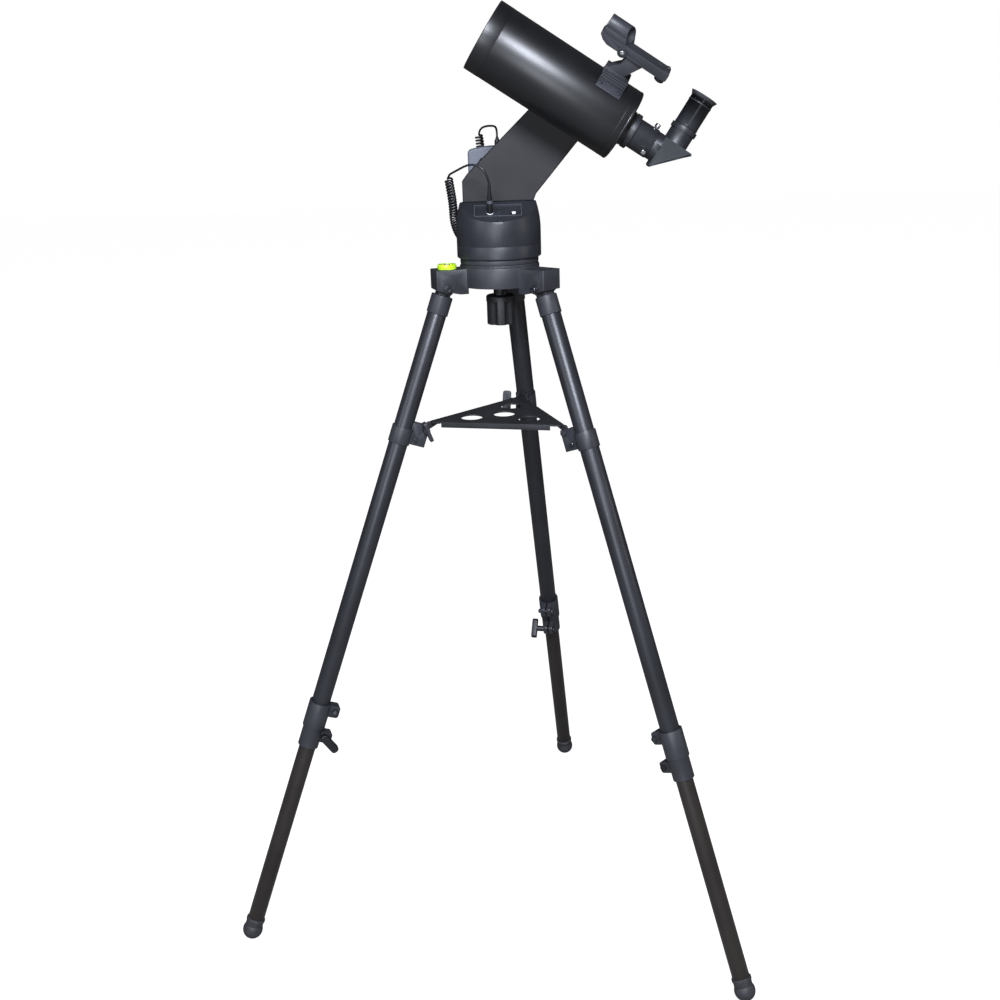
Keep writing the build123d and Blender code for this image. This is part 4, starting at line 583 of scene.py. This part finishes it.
def helix(points):
    """Turns round a line: even pitch, opening over a third of a turn and closing the same way."""
    lengths = [0.0]
    for before, after in zip(points, points[1:]):
        lengths.append(lengths[-1] + (after - before).length)
    total = lengths[-1]
    turns = round(total / COIL_PITCH)
    count = turns * POINTS_PER_TURN
    across = (points[1] - points[0]).normalized().cross(Vector((0, -1, 0))).normalized()
    turned = []
    segment = 0
    for index in range(1, count):
        along = total * index / count
        while lengths[segment + 1] < along:
            segment += 1
        start = points[segment]
        end = points[segment + 1]
        share = (along - lengths[segment]) / (lengths[segment + 1] - lengths[segment])
        ahead = (end - start).normalized()
        across = (across - ahead * across.dot(ahead)).normalized()
        angle = 2 * pi * index / POINTS_PER_TURN
        from_end = min(index, count - index)
        opened = min(1.0, 3 * from_end / POINTS_PER_TURN)
        out = across * cos(angle) + ahead.cross(across) * sin(angle)
        turned.append(start.lerp(end, share) + out * COIL_RADIUS * opened)
    return turned


def make_cord(shades):
    """One spline: plain lead, coil and plain lead, between the plugs of the panel and the handset."""
    front = [Vector(point) * MM for point in LEAD_FRONT]
    back = [Vector(point) * MM for point in LEAD_BACK]
    turned = helix(route_points("coil_line", COIL))
    centre = nurbs("cord_centre", front[:-1] + turned + back[1:], 0.0, 4)
    mesh = bpy.data.meshes.new_from_object(centre)
    bpy.data.objects.remove(centre)
    cord = nurbs("curly_cord", front[:-1] + turned + back[1:], CORD_RADIUS, 2)
    place_in(cord, shades["cord_black"], "azimuth_mount")
    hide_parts("cord_lead_front", "curly_cord_coil", "cord_lead_back")


# ---------------------------------------------------------------- parts that keep their CAD shape
REMADE = (
    "cord_lead_front", "curly_cord_coil", "cord_lead_back", "leg_pivot_bolts", "diagonal_body", "eyepiece",
)
COMMON_EDGE = 0.35
INSIDE = (
    "azimuth_gear", "azimuth_pinion", "altitude_pinion", "drive_motors", "primary_mirror", "corrector_lens",
)
EDGES = {
    "optical_tube": 0.3, "drum_upper": 0.9, "drum_lower": 0.5, "arm_near_cover": 0.0, "arm_far_cover": 0.0,
    "accessory_tray": 0.3, "tripod_head": 0.8, "handset_case": 0.0,
    "cord_plug_panel": 0.2, "cord_plug_handset": 0.2, "power_switch": 0.2, "socket_panel": 0.15,
}


def sunk_sides(piece):
    """Raised border round both flat sides of the prism housing."""
    half_width = 0.019

    def flat_side(centre, normal):
        return abs(normal.y) > 0.99 and abs(abs(centre.y - TUBE_REAR.y) - half_width) < 1e-4

    select_faces(piece, flat_side)
    bpy.ops.mesh.inset(thickness=1.8 * MM, depth=-0.7 * MM)


def shade_faces(piece, material, test):
    """Second material for the faces whose centres pass a test in the tube's frame, in millimetres."""
    piece.data.materials.append(material)
    back = TUBE.inverted()
    for face in piece.data.polygons:
        if test(*(back @ face.center / MM)):
            face.material_index = len(piece.data.materials) - 1


def diagonal_and_eyepiece(shades):
    """Grey prism housing with a black nose and holder, and the eyepiece with its rubber cup."""
    diagonal = finished("diagonal_body", shades["diagonal_grey"], 0.3, shape=sunk_sides)
    shade_faces(diagonal, shades["eyepiece_black"], lambda x, y, z: x > 17.6 or z > -53.6)
    eyepiece = finished("eyepiece", shades["eyepiece_black"], 0.25)
    shade_faces(eyepiece, shades["rubber_black"], lambda x, y, z: x > 80.6)


def finish_parts(shades):
    """Every other CAD part: painted where it is inside, and with broken edges where it is seen."""
    for node, slot_name in SLOT_OF.items():
        if node in REMADE:
            continue
        if slot_name in ("leg_dark", "leg_lower"):
            slot_name = f"{slot_name}_{node.rsplit('_', 1)[1]}"
        if node in INSIDE or node.startswith("cord_plug"):
            paint(node, shades[slot_name])
        else:
            finished(node, shades[slot_name], EDGES.get(node, COMMON_EDGE))


# ---------------------------------------------------------------- details on the telescope
def thumbscrews(shades):
    """Bright heads of the two screws that hold the diagonal in the visual back."""
    for name, angle in (("upper", radians(82)), ("lower", radians(-38))):
        place = facing(TUBE, (0, 0, -38), (sin(angle), -cos(angle), 0))
        steps = [(2.3, 20.3), (2.3, 21.2), (3.7, 21.2), (3.7, 25.6), (3.1, 26.6), (1.6, 26.9)]
        stepped(
            f"thumbscrew_{name}", place, steps, shades["steel_bright"], "telescope", 24, 0.2,
        )


def tube_rings(shades):
    """Raised line near the rear of the tube, and the mirror spot behind the corrector lens."""
    stepped(
        "rear_ring", TUBE, [(48.2, 11.4), (48.85, 11.6), (48.85, 12.4), (48.2, 12.6), (48.2, 11.4)],
        shades["tube_black"], "telescope", 96,
    )
    stepped(
        "secondary_spot", TUBE, [(14.0, 206.9), (14.0, 207.3)],
        shades["mirror_bright"], "telescope", 48,
    )


def eyepiece_details(shades):
    """Grip rings and the eye lens."""
    up = facing(TUBE, (0, 0, -70.8), (1, 0, 0))
    for name, low in (("low", 43.0), ("high", 75.5)):
        steps = [(16.5, low), (16.9, low + 0.4), (16.9, low + 1.6), (16.5, low + 2.0)]
        stepped(
            f"eyepiece_ring_{name}", up, steps, shades["eyepiece_black"], "eyepiece", 48,
        )
    stepped(
        "eye_lens", up, [(8.8, 79.1), (8.8, 79.8), (6.0, 80.5), (3.0, 80.8), (0.5, 80.9)],
        shades["glass_clear"], "eyepiece", 32,
    )


def finder_details(shades):
    """Bright pivot screw, the screw on the rail's top, and the four shoe screws."""
    steel = shades["steel_bright"]
    for name, side in (("near", -1), ("far", 1)):
        place = facing(FINDER, (89.0, side * 14.3, 56.0), (0, side, 0))
        steps = [(2.9, 0.0), (2.9, 0.9), (2.2, 1.3), (1.1, 1.3), (1.1, 0.5)]
        stepped(f"finder_pivot_screw_{name}", place, steps, steel, "finder", 24)
        washer = [(5.6, 0.0), (5.6, 0.35), (4.3, 0.35), (4.3, 0.05)]
        stepped(f"finder_washer_{name}", place, washer, shades["knob_black"], "finder", 32)
    top = facing(FINDER, (99.4, 4.0, -6.0), (1, 0, 0))
    steps = [(2.5, 0.0), (2.5, 0.5), (1.9, 0.9), (0.9, 0.9), (0.9, 0.3)]
    stepped("finder_top_screw", top, steps, steel, "finder", 20)
    for turn in (-27.6, 27.6):
        out = (cos(radians(turn)), sin(radians(turn)), 0)
        for along in (32.0, 59.9):
            place = facing(FINDER, (0, 0, along), out)
            steps = [(2.6, 52.1), (2.6, 52.6), (2.1, 53.1), (1.1, 53.1), (1.1, 52.5)]
            side = "near" if turn < 0 else "far"
            end = "rear" if along < 40 else "front"
            name = f"shoe_screw_{side}_{end}"
            stepped(name, place, steps, shades["leg_screw"], "telescope", 20)


# ---------------------------------------------------------------- details on the mount
PANEL_SLOPE = radians(22)
PANEL = axes(
    Vector((0, -26.73, 1106.6)) * MM, Vector((1, 0, 0)), Vector((0, cos(PANEL_SLOPE), sin(PANEL_SLOPE))),
    Vector((0, -sin(PANEL_SLOPE), cos(PANEL_SLOPE))),
)


def panel_details(shades):
    """Power socket with its pin, and the bands on the hand controller's plug."""
    place = facing(PANEL, (2.0, 2.5, 0), (0, 0, 1))
    ring = [(4.5, -0.1), (4.5, 0.35), (3.2, 0.35), (3.2, -5.0)]
    stepped("power_socket", place, ring, shades["leg_screw"], "azimuth_mount", 32, 0.1)
    pin = [(0.9, -5.0), (0.9, -1.2), (0.4, -0.8)]
    stepped("power_pin", place, pin, shades["steel_bright"], "azimuth_mount", 16)
    plug = facing(PANEL, (-11.0, -7.0, 0), (0, 0, 1))
    base = [(4.75, 0.3), (4.75, 1.3), (3.9, 1.6)]
    stepped("plug_base_ring", plug, base, shades["switch_white"], "azimuth_mount", 32)
    band = [(3.6, 15.4), (4.0, 15.8), (4.0, 19.2), (3.6, 19.6)]
    stepped("plug_band", plug, band, shades["handset_grey"], "azimuth_mount", 32)


def panel_border_painted_highlight(shades):
    """Thin lighter grey strip round the recessed panel: a painted highlight along the panel's rim."""
    clear_selection()
    bpy.ops.mesh.primitive_plane_add(size=1)
    border = bpy.context.object
    border.name = "panel_border_painted_highlight"
    border.scale = (66.0 * MM, 34.0 * MM, 1)
    border.location = (0, 0, 0.82 * MM)
    settle(border)
    bpy.ops.object.mode_set(mode="EDIT")
    bpy.ops.mesh.select_all(action="SELECT")
    bpy.ops.mesh.inset(thickness=0.7 * MM)
    bpy.ops.mesh.delete(type="FACE")
    bpy.ops.mesh.select_all(action="SELECT")
    bpy.ops.mesh.extrude_region_move(TRANSFORM_OT_translate={"value": (0, 0, 0.25 * MM)})
    bpy.ops.mesh.select_all(action="SELECT")
    bpy.ops.mesh.normals_make_consistent(inside=False)
    bpy.ops.object.mode_set(mode="OBJECT")
    settle(border, PANEL)
    # painted highlight: lighter grey than the drum, for the light that catches the panel's rim
    place_in(border, shades["handset_grey"], "azimuth_mount")


def level_details(shades):
    """Lime rim, centre ring and bubble of the round level."""
    low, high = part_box("bubble_level")
    centre = ((low.x + high.x) / 2 / MM, (low.y + high.y) / 2 / MM, high.z / MM)
    place = facing(Matrix.Identity(4), centre, (0, 0, 1))
    rim = [(12.4, -0.2), (12.4, 0.5), (10.6, 0.5), (10.6, 0.1)]
    stepped("level_rim", place, rim, shades["level_lime"], "tripod_head", 48, 0.15)
    ring = [(4.2, 0.05), (4.2, 0.3), (3.5, 0.3), (3.5, 0.12)]
    stepped("level_ring", place, ring, shades["knob_black"], "tripod_head", 40)
    drop = facing(Matrix.Identity(4), (centre[0] + 0.6, centre[1] + 0.5, centre[2]), (0, 0, 1))
    bubble = [(2.6, 0.05), (2.4, 0.5), (1.6, 0.8), (0.5, 0.9)]
    stepped("level_bubble", drop, bubble, shades["switch_white"], "tripod_head", 32)


def handset_screen(shades):
    """Glass over the display on the face that looks away from the telescope."""
    low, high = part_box("handset_case")
    width = 0.049
    height = 0.019
    depth = 0.0009
    clear_selection()
    bpy.ops.mesh.primitive_cube_add(size=1)
    screen = bpy.context.object
    screen.name = "handset_screen"
    screen.scale = (width, depth, height)
    screen.location = ((low.x + high.x) / 2, high.y - 0.0007, low.z + 0.102)
    settle(screen)
    round_edges(screen, 0.3)
    place_in(screen, shades["display"], "azimuth_mount")


# ---------------------------------------------------------------- details on the tripod
def pivot_screws(shades):
    """Cap screws with washers through the lugs of the head, in place of their plain CAD bolts."""
    steps = [
        (6.6, 19.02), (6.6, 19.9), (4.7, 19.9), (4.7, 23.6), (4.2, 24.1), (2.5, 24.1), (2.5, 22.0),
    ]
    first = None
    for leg in LEGS:
        for label, side in (("a", -1), ("b", 1)):
            place = facing(leg_axes(leg), (0, 0, 0), (0, side, 0))
            name = f"pivot_screw_{leg}_{label}"
            screw = stepped(name, place, steps, shades["leg_screw"], "tripod_head")
            first = first or screw
    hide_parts("leg_pivot_bolts")


def leg_screws(shades):
    """Cap screws of the tray bands, and hexagon nuts of the leg locks."""
    cap = [(3.3, 11.0), (3.3, 12.1), (2.7, 12.7), (1.3, 12.7), (1.3, 11.7)]
    nut = [(4.4, 10.9), (4.4, 13.4), (3.9, 13.7), (2.4, 13.7), (2.4, 14.6), (1.9, 14.9)]
    for leg in LEGS:
        body = f"{leg}_upper_leg"
        for label, side in (("a", -1), ("b", 1)):
            band = facing(leg_axes(leg), (21.0, 0, 221.0), (0, side, 0))
            stepped(f"band_screw_{leg}_{label}", band, cap, shades["leg_screw"], body, 24)
            lock = facing(leg_axes(leg), (24.5, 0, 661.5), (0, side, 0))
            stepped(f"lock_nut_{leg}_{label}", lock, nut, shades["leg_screw"], body, 6)


def foot_collars(shades):
    """Ring where each ball foot meets its neck."""
    for leg in LEGS:
        ring = [(13.7, 1029.6), (14.6, 1030.4), (14.6, 1033.4), (13.9, 1034.2)]
        stepped(
            f"foot_collar_{leg}", leg_axes(leg), ring, shades["rubber_black"], f"{leg}_lower_leg",
            48,
        )


DETAILS = (
    thumbscrews, tube_rings, eyepiece_details, finder_details, panel_details, panel_border_painted_highlight,
    level_details, handset_screen, pivot_screws, leg_screws, foot_collars,
)


make_camera()
make_studio()
shades = make_materials()
make_cord(shades)
finish_parts(shades)
diagonal_and_eyepiece(shades)
for make in DETAILS:
    make(shades)
